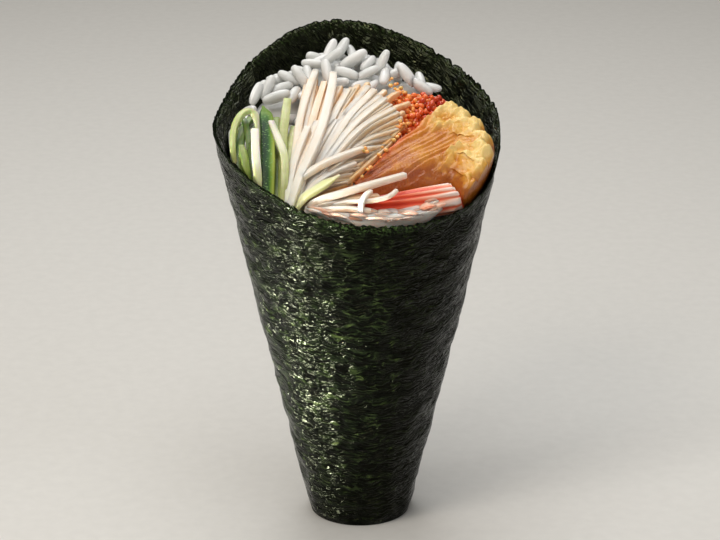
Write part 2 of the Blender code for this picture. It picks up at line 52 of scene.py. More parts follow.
CAMERA_AIM = Vector((0.0, 0.0, 0.0611))
CAMERA_DISTANCE = 0.600
CAMERA_ELEVATION = math.radians(20.0)
CAMERA_LENS = 126.75
SENSOR_WIDTH = 36.0
LIGHT_AIM = Vector((0.0, 0.0, 0.054))
FLOOR_SIDE = 3.0
FLOOR_COLOURS = ("d3d1cc", "d7d5d0")
FLOOR_SPECKLE = 900.0
LIGHTS = {
    # Place, width, height, power, colour and spread in degrees of each panel.
    "key_light": ((-0.26, -0.30, 0.50), 0.20, 0.20, 1.0, "fff4e6", 180.0),
    "side_light": ((-0.17, -0.085, 0.016), 0.12, 0.024, 0.27, "ffffff", 35.0),
    "fill_light": ((0.50, -0.34, 0.30), 0.40, 0.40, 0.4, "eef3ff", 180.0),
    "top_light": ((-0.04, -0.08, 0.66), 0.46, 0.46, 1.9, "ffffff", 180.0),
    "back_light": ((-0.05, 0.36, 0.56), 0.34, 0.34, 1.3, "ffffff", 180.0),
}
SKY_COLOUR = "dad6ce"
SKY_STRENGTH = 0.34


def linear(hex_colour):
    """A colour written as sRGB hex, as the linear RGBA that a shader takes."""
    values = [int(hex_colour[i:i + 2], 16) / 255.0 for i in (0, 2, 4)]
    return (*[v / 12.92 if v <= 0.04045 else ((v + 0.055) / 1.055) ** 2.4 for v in values], 1.0)


def set_inputs(node, inputs):
    """Gives each socket its value, or links it from the output, or the first live output of the node, named for it."""
    for socket, value in inputs.items():
        if isinstance(value, bpy.types.Node):
            value = next(output for output in value.outputs if output.enabled)
        if isinstance(value, bpy.types.NodeSocket):
            node.id_data.links.new(value, node.inputs[socket])
        else:
            node.inputs[socket].default_value = value


def add_node(material, kind, inputs=None, stops=(), **settings):
    """Adds a shader node with its settings, its inputs and, for a colour ramp, its stops."""
    node = material.node_tree.nodes.new("ShaderNode" + kind)
    for name, value in settings.items():
        setattr(node, name, value)
    set_inputs(node, inputs or {})
    if stops:
        ramp, stops = node.color_ramp, list(stops)
        while len(ramp.elements) < len(stops):
            ramp.elements.new(1.0)
        for element, (place, colour) in zip(ramp.elements, stops):
            element.position = place
            element.color = linear(colour) if isinstance(colour, str) else (colour, colour, colour, 1.0)
    return node


def new_material(name, constants):
    """A material and its Principled shader, whose constant values sit on the shader's own sockets."""
    material = bpy.data.materials.new(name)
    material.use_nodes = True
    shader = material.node_tree.nodes["Principled BSDF"]
    set_inputs(shader, constants)
    return material, shader


scene = bpy.context.scene
scene.view_settings.view_transform = "Standard"
floor_mesh = bpy.data.meshes.new("floor")
bm = bmesh.new()
bmesh.ops.create_grid(bm, x_segments=1, y_segments=1, size=FLOOR_SIDE / 2)
bm.to_mesh(floor_mesh)
bm.free()
floor = bpy.data.objects.new("floor", floor_mesh)
scene.collection.objects.link(floor)
floor_paint, floor_shader = new_material("matt_studio_paint", {"Roughness": 0.75})
speckle = add_node(floor_paint, "TexNoise", {"Scale": FLOOR_SPECKLE, "Detail": 2.0})
tint = add_node(floor_paint, "ValToRGB", {"Fac": speckle}, stops=zip((0.3, 0.7), FLOOR_COLOURS))
set_inputs(floor_shader, {"Base Color": tint})
floor_mesh.materials.append(floor_paint)

for light_name, (place, width, height, power, colour, spread) in LIGHTS.items():
    lamp = bpy.data.lights.new(light_name, "AREA")
    lamp.shape = "RECTANGLE"
    lamp.size = width
    lamp.size_y = height
    lamp.energy = power
    lamp.spread = math.radians(spread)
    lamp.color = linear(colour)[:3]
    light = bpy.data.objects.new(light_name, lamp)
    light.location = place
    light.rotation_euler = (LIGHT_AIM - light.location).to_track_quat("-Z", "Y").to_euler()
    scene.collection.objects.link(light)
sky = bpy.data.worlds.new("studio_air")
sky.use_nodes = True
sky.node_tree.nodes["Background"].inputs["Color"].default_value = linear(SKY_COLOUR)
sky.node_tree.nodes["Background"].inputs["Strength"].default_value = SKY_STRENGTH
scene.world = sky

camera_data = bpy.data.cameras.new("camera")
camera_data.lens = CAMERA_LENS
camera_data.sensor_width = SENSOR_WIDTH
camera = bpy.data.objects.new("camera", camera_data)
back = Vector((0.0, -math.cos(CAMERA_ELEVATION), math.sin(CAMERA_ELEVATION)))
camera.location = CAMERA_AIM + back * CAMERA_DISTANCE
camera.rotation_euler = (math.radians(90.0) - CAMERA_ELEVATION, 0.0, 0.0)
scene.collection.objects.link(camera)
scene.camera = camera

# The seaweed wrap. One sheet of toasted nori, a crinkled felt of dried fibres, rolled by hand into a cone. Its
# outer edge laps over itself down the back, its top edge is slanted and ragged, and its end is folded flat.
FOOT_RADIUS = 12.6
FLARE = 0.2246
WALL = 1.0
SKIN_INSET = 0.1
WRAP_FLOOR = 1.6
LAP_STEP = 0.5
LAP_BEARING = 100.0
LAP_SLANT = 38.0
INNER_EDGE_BEARING = 84.0
MOUTH_Z = 95.6
RIM_SINES = (13.78, 0.90, -0.74, 0.74)
RIM_COSINES = (-2.74, -1.72, 0.63, 0.16)
MOUTH_PITCH = 0.406
MOUTH_ROLL = -0.08
RIM_RAGGED = 0.8
RIM_TEETH = 0.9
RIM_THIN = 0.35
RIM_EDGE_BAND = 2.8
FOOT_BEND = 0.5
PLEATS = 6.0
PLEAT_DEPTH = 0.22
LAP_END = 359.2
LAP_CLOSE = 359.4
INNER_LAP_STEP = 0.3
INNER_SKIN = 0.18
FOOT_TUCK = 0.7
INNER_CRUMPLE = 1.3
CRINKLE_DEPTH = 0.5
WRAP_COLUMNS = 510
FOOT_RINGS = 6
OUTER_RINGS = 132
RIM_RINGS = 3
INNER_RINGS = 36
DEPTH_RINGS = 4
INNER_DEPTH = 27.0
INNER_SEED = 50.0
FIBRE_LENGTH = 4.5
FIBRE_SPACING = 0.80
SHEET_SHIFT = 250.2


def smooth_step(value):
    value = min(1.0, max(0.0, value))
    return value * value * (3.0 - 2.0 * value)


def toward(origin, bearing, distance):
    angle = math.radians(bearing)
    return origin[0] + distance * math.cos(angle), origin[1] + distance * math.sin(angle)


def rim_height(bearing):
    angle = math.radians(bearing)
    height = MOUTH_Z
    for wave, (sine, cosine) in enumerate(zip(RIM_SINES, RIM_COSINES), start=1):
        height += sine * math.sin(wave * angle) + cosine * math.cos(wave * angle)
    return height


def ripple(bearing, z):
    angle = math.radians(bearing)
    return 0.16 * math.sin(5.0 * angle + 0.05 * z) + 0.10 * math.sin(9.0 * angle - 0.08 * z)


def flat_sheet(bearing, z):
    """Where a point of the cone lies on the unrolled sheet, in mm: its fibres run straight across that sheet."""
    slant = (z + FOOT_RADIUS / FLARE) * math.sqrt(1.0 + FLARE**2)
    angle = math.radians(bearing - 270.0) * FLARE / math.sqrt(1.0 + FLARE**2)
    return slant * math.sin(angle) + SHEET_SHIFT, slant * math.cos(angle)


def rough(x, y, z):
    """Smooth random relief, between -1 and 1, with one swell to each unit."""
    return noise.noise(Vector((x, y, z)))


def crinkle(x, y, seed):
    """How far the felt sinks below its highest fibres, from 0 to 1. The divisors are the sizes of its folds in mm."""
    sway = 1.6 * rough(x / 9.0, y / 7.0, seed + 33.0)
    x += 3.4 * rough(x / 14.0, y / 4.5, seed + 70.0)
    ridges = abs(rough(x / 5.5, (y + sway) / 1.9, seed + 9.0))
    creases = abs(rough(x / 7.0, (y + sway) / 3.4, seed + 15.0))
    folds = rough(x / 9.0, y / 5.0, seed + 21.0)
    return min(1.0, max(0.0, 0.3 + 0.6 * ridges + 0.6 * creases + 0.9 * folds))


def skin(bm, columns, rings, place):
    """A closed skin from a grid rolled into a tube, with each vertex at place(ring, column, vert) and both ends shut.

    Rings 0 and rings + 1 are single points, and the last column meets the first.
    """
    made = bmesh.ops.create_grid(bm, x_segments=columns, y_segments=rings + 1, size=1.0)
    seam = []
    for vert in made["verts"]:
        column = round((vert.co.x + 1.0) / 2.0 * columns)
        ring = round((vert.co.y + 1.0) / 2.0 * (rings + 1))
        if column in (0, columns) or ring in (0, rings + 1):
            seam.append(vert)
        vert.co = place(ring, column % columns, vert)
    bmesh.ops.remove_doubles(bm, verts=seam, dist=0.00001)


def finish_piece(bm, name, materials, node, sharp=180.0):
    """Turns a bmesh in millimetres into a piece in metres that rides on the roll."""
    bmesh.ops.recalc_face_normals(bm, faces=bm.faces)
    if bm.calc_volume(signed=True) < 0:
        bmesh.ops.reverse_faces(bm, faces=bm.faces)
    bmesh.ops.scale(bm, vec=(MILLIMETRE,) * 3, verts=bm.verts)
    mesh = bpy.data.meshes.new(name)
    bm.to_mesh(mesh)
    bm.free()
    mesh.shade_smooth()
    if sharp < 180.0:
        mesh.set_sharp_from_angle(angle=math.radians(sharp))
    for material in materials:
        mesh.materials.append(material)
    piece = bpy.data.objects.new(name, mesh)
    scene.collection.objects.link(piece)
    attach(piece, "root")
    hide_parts(node)
    return piece


def wrap_ring(ring):
    """Which part of the skin a ring is in, and its share of the way up that part."""
    if ring <= FOOT_RINGS:
        return "foot", ring / FOOT_RINGS
    ring -= FOOT_RINGS
    if ring <= OUTER_RINGS:
        return "outside", ring / OUTER_RINGS
    ring -= OUTER_RINGS
    if ring <= RIM_RINGS:
        return "rim", ring / (RIM_RINGS + 1)
    ring -= RIM_RINGS
    if ring <= INNER_RINGS:
        return "inside", (ring - 1) / (INNER_RINGS - 1)
    return "depth", (ring - INNER_RINGS) / DEPTH_RINGS


bm = bmesh.new()
sheet_place = bm.verts.layers.float_vector.new("sheet")
sheet_edge = bm.verts.layers.float.new("edge")


def place_on_wrap(ring, column, vert):
    part, share = wrap_ring(ring)
    turned = min(360.0 * column / (WRAP_COLUMNS - 1), LAP_END) if column < WRAP_COLUMNS - 1 else LAP_CLOSE
    height_share = {"foot": 0.0, "outside": share}.get(part, 1.0)
    bearing = turned + LAP_BEARING + LAP_SLANT * height_share
    x, y = flat_sheet(bearing, rim_height(bearing))
    ragged = RIM_RAGGED * abs(rough(x / 1.3, 3.0, 0.0))
    ragged += 0.5 * abs(rough(x / 4.0, 8.0, 0.0))
    ragged += RIM_TEETH * abs(rough(column * 0.83, 12.0, 0.0))
    top = rim_height(bearing) + 0.3 - ragged
    lap = LAP_STEP * (0.5 - turned / 360.0)
    if part == "foot":
        pleat = PLEAT_DEPTH * abs(math.sin(math.radians(bearing) * PLEATS + 5.0 * share)) * smooth_step(share * 2.0)
        z = pleat * math.sin(math.pi * share)
        radius = (FOOT_RADIUS - FOOT_TUCK) * share
    elif part == "outside":
        z = FOOT_BEND + (top - FOOT_BEND) * share
        radius = FOOT_RADIUS - SKIN_INSET + FLARE * z + ripple(bearing, z) + lap * smooth_step(share / 0.2)
        radius -= FOOT_BEND * (1.0 - smooth_step(z / 1.5))
        x, y = flat_sheet(bearing, z)
        radius -= CRINKLE_DEPTH * crinkle(x, y, 0.0)
    elif part == "rim":
        z = top - 0.35 * math.sin(math.pi * share) + 0.12 * rough(x / 0.7, share * 3.0, 4.0)
        radius = FOOT_RADIUS - SKIN_INSET + FLARE * top + ripple(bearing, top) + lap - 0.25
        radius -= (WALL - RIM_THIN - 0.35) * share
    else:
        depth = INNER_DEPTH * share
        if part == "depth":
            depth = INNER_DEPTH + (top - WRAP_FLOOR - INNER_DEPTH) * share
        z = top - 0.15 - depth
        radius = FOOT_RADIUS - WALL + FLARE * z + ripple(bearing, z)
        radius -= INNER_LAP_STEP * (1.0 - ((bearing - INNER_EDGE_BEARING) / 360.0) % 1.0)
        x, y = flat_sheet(bearing, z)
        if part == "inside":
            radius += RIM_THIN * (1.0 - smooth_step(depth / 4.0))
            radius -= INNER_CRUMPLE * abs(rough(x / 4.0, y / 3.0, 61.0)) * smooth_step(depth / 2.0)
            radius += INNER_SKIN - CRINKLE_DEPTH * (1.0 - crinkle(x, y, INNER_SEED)) * 0.8
    if part == "rim":
        x, y = x * 6.0, y + share * 3.0
    vert[sheet_place] = (x, y, 0.0 if part in ("foot", "outside", "rim") else INNER_SEED)
    vert[sheet_edge] = 1.0 - smooth_step((top - z) / RIM_EDGE_BAND)
    if ring == 0 or share >= 1.0 and part == "depth":
        return Vector((0, 0, 0 if ring == 0 else WRAP_FLOOR))
    return Vector((*toward((0, 0), bearing, radius), max(0.0, z)))


skin(bm, WRAP_COLUMNS, FOOT_RINGS + OUTER_RINGS + RIM_RINGS + INNER_RINGS + DEPTH_RINGS - 1, place_on_wrap)

# Toasted nori, air dried in a thin felt: near black green, olive along its raised fibres and darkest in the hollows
# between them, a painted shade, with a low gloss that its crinkles break into short glints. The cut edge is a brighter
# green. A place on the sheet is in mm, so each scale is one over a size in mm. The fibres are drawn coarser than real
# ones, so that they show.
nori, nori_shader = new_material("toasted_nori", {
    "IOR": 1.45, "Specular IOR Level": 0.12, "Specular Tint": linear("e2ebb4")})
on_sheet = add_node(nori, "Attribute", attribute_name="sheet").outputs["Vector"]
sway = add_node(nori, "TexNoise", {"Vector": on_sheet, "Scale": 0.22, "Detail": 2.0}).outputs["Color"]
sway = add_node(nori, "VectorMath", {0: sway, 1: (6.0, 3.4, 0.0)}, operation="MULTIPLY").outputs["Vector"]
swayed = add_node(nori, "VectorMath", {0: on_sheet, 1: sway}, operation="ADD").outputs["Vector"]
long_place = add_node(nori, "Mapping", {"Vector": swayed, "Scale": (1 / FIBRE_LENGTH, 1 / FIBRE_SPACING, 1.0)})
long_noise = add_node(nori, "TexNoise", {"Vector": long_place, "Scale": 1.0, "Detail": 1.0})
long_fibres = add_node(nori, "ValToRGB", {"Fac": long_noise}, stops=[
    (0.34, 0.0), (0.50, 1.0), (0.66, 0.0)])
fine_place = add_node(nori, "Mapping", {"Vector": swayed, "Scale": (0.27, 1.25, 1.0)})
fine_noise = add_node(nori, "TexNoise", {"Vector": fine_place, "Scale": 1.0, "Detail": 0.3})
relief = add_node(nori, "Math", {0: fine_noise, 1: 0.6, 2: long_fibres}, operation="MULTIPLY_ADD")
wave_place = add_node(nori, "Mapping", {"Vector": on_sheet, "Scale": (0.13, 0.30, 1.0)})
waves = add_node(nori, "TexNoise", {"Vector": wave_place, "Scale": 1.0, "Detail": 1.0})
surface = add_node(nori, "Math", {0: waves, 1: 4.0, 2: relief}, operation="MULTIPLY_ADD")
blotches = add_node(nori, "TexNoise", {"Vector": on_sheet, "Scale": 0.30, "Detail": 3.0})
thinness = add_node(nori, "MapRange", {"Value": blotches, "From Min": 0.35, "From Max": 0.65,
                                       "To Min": -0.28, "To Max": 0.28})
# The colour follows the relief: near black in the hollows between the fibres, a painted shade, olive on the raised
# fibres, and paler where the sheet is thin.
fibre_shade_and_thinness = add_node(nori, "Math", {0: relief, 1: thinness}, operation="ADD")
fibre_shade_and_thinness = add_node(nori, "MapRange", {"Value": fibre_shade_and_thinness, "From Min": 0.30, "From Max": 1.75})
nori_colour = add_node(nori, "ValToRGB", {"Fac": fibre_shade_and_thinness}, stops=[
    (0.22, "010101"), (0.50, "040603"), (0.68, "0d1207"), (0.85, "1c230f"), (1.0, "3e4524")])
on_edge = add_node(nori, "Attribute", attribute_name="edge").outputs["Fac"]
edge_patches = add_node(nori, "TexNoise", {"Vector": on_sheet, "Scale": 1.5, "Detail": 2.0})
edge_patches = add_node(nori, "MapRange", {"Value": edge_patches, "From Min": 0.46, "From Max": 0.66})
edge_share = add_node(nori, "Math", {0: on_edge, 1: edge_patches}, operation="MULTIPLY")
nori_mix = add_node(nori, "Mix", {"Factor": edge_share, "A": nori_colour, "B": linear("2c3c1c")}, data_type="RGBA")
nori_gloss = add_node(nori, "MapRange", {"Value": fine_noise, "From Min": 0.3, "From Max": 0.7,
                                         "To Min": 0.18, "To Max": 0.09})
nori_bump = add_node(nori, "Bump", {"Height": surface, "Strength": 1.0, "Distance": 0.00030})
set_inputs(nori_shader, {"Base Color": nori_mix, "Roughness": nori_gloss, "Normal": nori_bump})

# The inner face, dampened by the warm rice: the same sheet, glossier, so its crumples catch the light.
damp_nori = nori.copy()
damp_nori.name = "damp_nori"
set_inputs(damp_nori.node_tree.nodes["Principled BSDF"], {"Specular IOR Level": 0.42})
for face in bm.faces:
    face.material_index = int(all(vert[sheet_place].z > INNER_SEED / 2 for vert in face.verts))
finish_piece(bm, "seaweed_cone", [nori, damp_nori], "nori_wrap")

# The cut vegetable strips, shredded with a knife and still wet. Each has a rounded rectangular section, two cut
# ends and faint ridges where its fibres run. Here are the shapes that both kinds of strip share.
MOUTH_CLEARANCE = 0.55
PATH_STEPS = 12
STRIP_BEVEL = 0.16
CUT_END = 0.86
FIBRE_RIDGE = 0.04
STRIP_BEND = 0.3


def mouth(x, y):
    return MOUTH_Z + MOUTH_PITCH * y + MOUTH_ROLL * x


def at(x, y, lift):
    """A place in the roll's mouth, by its height above the slanted plane of the mouth."""
    return Vector((x, y, mouth(x, y) + lift))


def room(z):
    return FOOT_RADIUS - WALL + FLARE * z - MOUTH_CLEARANCE


def room_at_lift(bearing, lift):
    angle = math.radians(bearing)
    slope = MOUTH_PITCH * math.sin(angle) + MOUTH_ROLL * math.cos(angle)
    return room(MOUTH_Z + lift) / (1.0 - FLARE * slope)


def keep_in_wrap(verts):
    """Presses what would cross the seaweed flat against it."""
    for vert in verts:
        reach = math.hypot(vert.co.x, vert.co.y)
        free = room(vert.co.z)
        if reach > free:
            vert.co.x *= free / reach
            vert.co.y *= free / reach


def on_path(points, share):
    """The place at a share of the way along a smooth curve through the given points."""
    ends = [points[0] * 2 - points[1], *points, points[-1] * 2 - points[-2]]
    along = share * (len(points) - 1)
    span = min(int(along), len(points) - 2)
    t = along - span
    a, b, c, d = ends[span:span + 4]
    return (b * 2 + (c - a) * t + (a * 2 - b * 5 + c * 4 - d) * t**2 + (b * 3 - a - c * 3 + d) * t**3) / 2


def path_frame(points, share):
    """The place on a path, its direction there, and the directions to its side and above it."""
    forward = on_path(points, min(1.0, share + 0.02)) - on_path(points, max(0.0, share - 0.02))
    side = forward.cross(Vector((0, 0, 1))).normalized()
    return on_path(points, share), forward, side, side.cross(forward).normalized()


def squared(value, power):
    """One coordinate of a round section, pushed out towards a square one by a power under 1."""
    return math.copysign(abs(value) ** power, value)


def add_to(bm, piece):
    """Moves a small finished bmesh into a large one, which is much quicker than making it there."""
    mesh = bpy.data.meshes.new("piece")
    piece.to_mesh(mesh)
    piece.free()
    bm.from_mesh(mesh)
    bpy.data.meshes.remove(mesh)


def strip_bmesh():
    bm = bmesh.new()
    bm.verts.layers.float_vector.new("tone")
    bm.verts.layers.float_vector.new("grain")
    return bm


def add_strip(bm, points, width, depth, tone, seed, stations=20, columns=16, square=0.3, tip=0.85, foot=0.85, roll=0.0,
              kind=0):
    """A cut strip along a path, with a section that square makes round at 1 and square at 0.

    tone(across, along, above) gives its shares of stain, with any painted shade, and of green at a vertex, and kind is
    its material's number.
    """
    piece = strip_bmesh()
    colour = piece.verts.layers.float_vector["tone"]
    grain = piece.verts.layers.float_vector["grain"]
    marks = [on_path(points, step / PATH_STEPS) for step in range(PATH_STEPS + 1)]
    length = sum((end - start).length for start, end in zip(marks, marks[1:]))
    bevel = STRIP_BEVEL / length
    between = [bevel + (1.0 - 2.0 * bevel) * step / (stations - 3) for step in range(1, stations - 3)]
    shares = [0.0, bevel, *between, 1.0 - bevel, 1.0]

    def place(ring, column, vert):
        share = shares[max(0, min(stations - 1, ring - 1))]
        here, _, side, up = path_frame(points, share)
        angle = 2.0 * math.pi * column / columns - math.pi / 2
        across, above = squared(math.cos(angle), square), squared(math.sin(angle), square)
        scale = foot + (1.0 - foot) * smooth_step(share / 0.3)
        scale *= tip + (1.0 - tip) * smooth_step((1.0 - share) / 0.25)
        if ring <= 1 or ring >= stations:
            scale *= CUT_END if 1 <= ring <= stations else 0.0
        ridge = FIBRE_RIDGE * rough(column * 1.9, share * length * 0.12, seed)
        turn = roll * share + STRIP_BEND * rough(share * length * 0.06, seed, 5.0)
        flat = across * scale * (width / 2 + ridge)
        tall = above * scale * (depth / 2 + ridge)
        stain, green = tone(across, share, above)
        vert[colour] = (stain, green, share)
        vert[grain] = (column / columns * 2.0 * (width + depth), share * length, seed)
        right = flat * math.cos(turn) - tall * math.sin(turn)
        return here + side * right + up * (flat * math.sin(turn) + tall * math.cos(turn))

    skin(piece, columns, stations, place)
    for face in piece.faces:
        face.material_index = kind
    add_to(bm, piece)


def strip_finish(name, stain_and_shade_stops, green_stops, gloss, light_reach, vary):
    """Cut wet flesh: light passes a little way into it, and fine fibres run along it under a thin wet gloss."""
    material, shader = new_material(name, {
        "IOR": 1.38, "Subsurface Weight": 0.75, "Subsurface Scale": 0.0018, "Subsurface Radius": light_reach,
        "Coat Weight": 0.15, "Coat Roughness": 0.2})
    tone = add_node(material, "Attribute", attribute_name="tone").outputs["Vector"]
    split = add_node(material, "SeparateXYZ", {"Vector": tone})
    grain = add_node(material, "Attribute", attribute_name="grain").outputs["Vector"]
    fibre_place = add_node(material, "Mapping", {"Vector": grain, "Scale": (2.6, 0.14, 7.0)})
    fibres = add_node(material, "TexNoise", {"Vector": fibre_place, "Scale": 1.0, "Detail": 3.0})
    spots = add_node(material, "TexNoise", {"Vector": grain, "Scale": 0.35, "Detail": 2.0})
    wobble = add_node(material, "Math", {0: fibres, 1: spots}, operation="ADD")
    wobble = add_node(material, "MapRange", {"Value": wobble, "From Min": 0.75, "From Max": 1.25,
                                             "To Min": -vary, "To Max": vary})
    # The tone's first share is stain, and on the white shreds also painted shade.
    stain = add_node(material, "Math", {0: split.outputs["X"], 1: wobble}, operation="ADD")
    stain = add_node(material, "ValToRGB", {"Fac": stain}, stops=stain_and_shade_stops)
    green = add_node(material, "Math", {0: split.outputs["Y"], 1: wobble}, operation="ADD")
    green = add_node(material, "ValToRGB", {"Fac": green}, stops=green_stops)
    green_share = add_node(material, "MapRange", {"Value": split.outputs["Y"], "From Min": 0.02, "From Max": 0.2})
    mix = add_node(material, "Mix", {"Factor": green_share, "A": stain, "B": green}, data_type="RGBA")
    wetness = add_node(material, "MapRange", {"Value": spots, "To Min": gloss - 0.1, "To Max": gloss + 0.1})
    bump = add_node(material, "Bump", {"Height": fibres, "Strength": 0.5, "Distance": 0.00018})
    set_inputs(shader, {"Base Color": mix, "Roughness": wetness, "Normal": bump})
    return material


# The cucumber: thin strips cut lengthwise with their skin left on, so some show dark skin, some the yellow green
# flesh under it and some the pale flesh further in. They stand side by side against the left wall.
CUCUMBER_COLUMNS = 16
CUCUMBER_STRIPS = (
    # x, y and lift of each point, then width, depth, greenness at the foot and at the tip, and width of the tip.
    (((-28.3, -13.8, -3.0), (-28.9, -12.0, 0.6), (-29.0, -9.6, 2.8), (-28.4, -7.2, 4.3), (-27.2, -4.9, 5.0),
      (-25.6, -3.4, 5.0), (-24.4, -3.5, 4.5), (-23.6, -4.9, 3.7), (-23.3, -6.4, 2.4), (-23.3, -8.2, 0.5)),
     1.5, 1.3, 0.42, 0.22, 0.9),
    (((-25.0, -12.4, -3.0), (-25.3, -8.8, 0.2), (-26.2, -4.2, 1.6), (-27.3, -0.6, 1.8)), 1.4, 1.2, 0.68, 0.72, 0.45),
    (((-25.2, -19.0, -3.0), (-25.6, -17.4, 0.0), (-26.3, -15.0, 1.9), (-27.0, -12.0, 2.6)), 1.9, 1.5, 0.66, 0.58, 0.7),
    (((-23.0, -21.4, -3.0), (-23.1, -19.8, 1.0), (-23.6, -15.8, 3.4), (-24.0, -9.2, 4.6)), 1.9, 1.6, 0.34, 0.04, 0.97),
    (((-21.9, -21.0, -3.0), (-22.1, -16.4, 0.0), (-22.2, -12.2, 0.9), (-22.1, -7.2, 1.6)), 1.3, 1.2, 0.55, 0.28, 0.8),
    (((-20.6, -22.4, -2.6), (-20.7, -17.4, 2.2), (-21.0, -11.2, 3.7), (-21.6, -4.2, 4.1), (-22.5, 0.6, 3.6)),
     3.2, 1.8, 0.0, 0.0, 0.2),
    (((-17.6, -23.4, -3.0), (-17.5, -16.0, 0.6), (-17.7, -7.8, 1.8), (-17.4, -2.6, 2.8), (-16.9, 4.3, 2.9)),
     2.1, 1.7, 0.52, 0.30, 0.9),
    (((-17.5, -24.0, -3.2), (-16.9, -20.2, 1.6), (-17.1, -16.4, 3.8), (-18.4, -12.5, 4.5), (-20.5, -6.1, 4.6)),
     1.8, 1.5, 0.42, 0.12, 0.9),
    (((-24.4, -20.0, -4.0), (-24.6, -14.4, -0.4), (-24.4, -8.4, 0.4), (-23.9, -2.0, 0.2)), 2.2, 1.8, 0.74, 0.66, 0.8),
    (((-27.0, -16.0, -3.6), (-27.6, -10.4, -0.4), (-27.0, -4.4, 0.4), (-25.2, 0.6, 0.4)), 2.0, 1.8, 0.70, 0.68, 0.8),
    (((-19.0, -22.6, -3.6), (-18.9, -14.4, 0.2), (-19.2, -7.2, 0.6), (-19.4, 0.8, 0.6)), 2.0, 1.8, 0.70, 0.55, 0.8),
    (((-22.6, -20.6, -4.4), (-22.8, -13.4, -1.0), (-22.6, -6.4, -0.2), (-21.6, 0.6, -0.2)), 2.2, 1.8, 0.70, 0.64, 0.8),
    (((-16.6, -23.8, -3.6), (-16.2, -15.4, 0.0), (-15.9, -8.2, 0.4), (-15.3, -1.2, 0.2)), 2.0, 1.8, 0.50, 0.36, 0.8),
)
SKIN_STRIP = 5

bm = strip_bmesh()
for number, (points, width, depth, green_foot, green_tip, tip) in enumerate(CUCUMBER_STRIPS):

    def cucumber_tone(across, along, above):
        if number != SKIN_STRIP:
            return 0.0, green_foot + (green_tip - green_foot) * smooth_step(along / 0.8) + 0.05 * abs(across)
        peel = smooth_step((0.25 - across) / 0.35) * (1.0 - smooth_step((along - 0.62) / 0.2))
        flesh = 0.46 + 0.22 * smooth_step((along - 0.5) / 0.3)
        edge = smooth_step((-0.7 - across) / 0.2)
        return 0.0, max(flesh + (1.0 - flesh) * peel, edge * 0.95)

    add_strip(bm, [at(*point) for point in points], width, depth, cucumber_tone, number * 3.1, stations=30,
              columns=CUCUMBER_COLUMNS, tip=tip, kind=int(number == SKIN_STRIP))
keep_in_wrap(bm.verts)

# Fresh cucumber: wet, slightly see-through flesh from cream through yellow green, and waxy dark green skin.
cucumber = strip_finish("fresh_cut_cucumber", [(0.0, "f4f2e2"), (1.0, "f4f2e2")], [
    (0.05, "dfdfc8"), (0.30, "c8cb98"), (0.50, "a2ab60"), (0.66, "6f8236"), (0.82, "345c20"), (0.95, "153c1a")],
    0.32, (0.6, 1.0, 0.3), 0.07)

# Cucumber skin: a thin waxy rind, dark green with pale pin spots, over a margin of yellow green flesh.
rind, rind_shader = new_material("cucumber_rind", {"IOR": 1.4, "Specular IOR Level": 0.3})
rind_tone = add_node(rind, "Attribute", attribute_name="tone").outputs["Vector"]
rind_green = add_node(rind, "SeparateXYZ", {"Vector": rind_tone}).outputs["Y"]
rind_place = add_node(rind, "Attribute", attribute_name="grain").outputs["Vector"]
rind_streaks = add_node(rind, "Mapping", {"Vector": rind_place, "Scale": (1.6, 0.3, 1.0)})
rind_streaks = add_node(rind, "TexNoise", {"Vector": rind_streaks, "Scale": 1.0, "Detail": 2.0})
rind_vary = add_node(rind, "MapRange", {"Value": rind_streaks, "To Min": -0.12, "To Max": 0.12})
rind_mix = add_node(rind, "Math", {0: rind_green, 1: rind_vary}, operation="ADD")
rind_colour = add_node(rind, "ValToRGB", {"Fac": rind_mix}, stops=[
    (0.40, "a3ac4c"), (0.62, "748f2a"), (0.78, "3d6a1a"), (0.92, "153e12"), (1.0, "0c2c0c")])
rind_spots = add_node(rind, "TexNoise", {"Vector": rind_place, "Scale": 3.4, "Detail": 0.0})
rind_spots = add_node(rind, "MapRange", {"Value": rind_spots, "From Min": 0.66, "From Max": 0.74,
                                         "To Min": 0.0, "To Max": 0.7})
rind_mix = add_node(rind, "Mix", {"Factor": rind_spots, "A": rind_colour, "B": linear("7fa860")}, data_type="RGBA")
rind_gloss = add_node(rind, "MapRange", {"Value": rind_streaks, "To Min": 0.28, "To Max": 0.5})
set_inputs(rind_shader, {"Base Color": rind_mix, "Roughness": rind_gloss})
finish_piece(bm, "cucumber_shreds", [cucumber, rind], "cucumber_strips", 50.0)
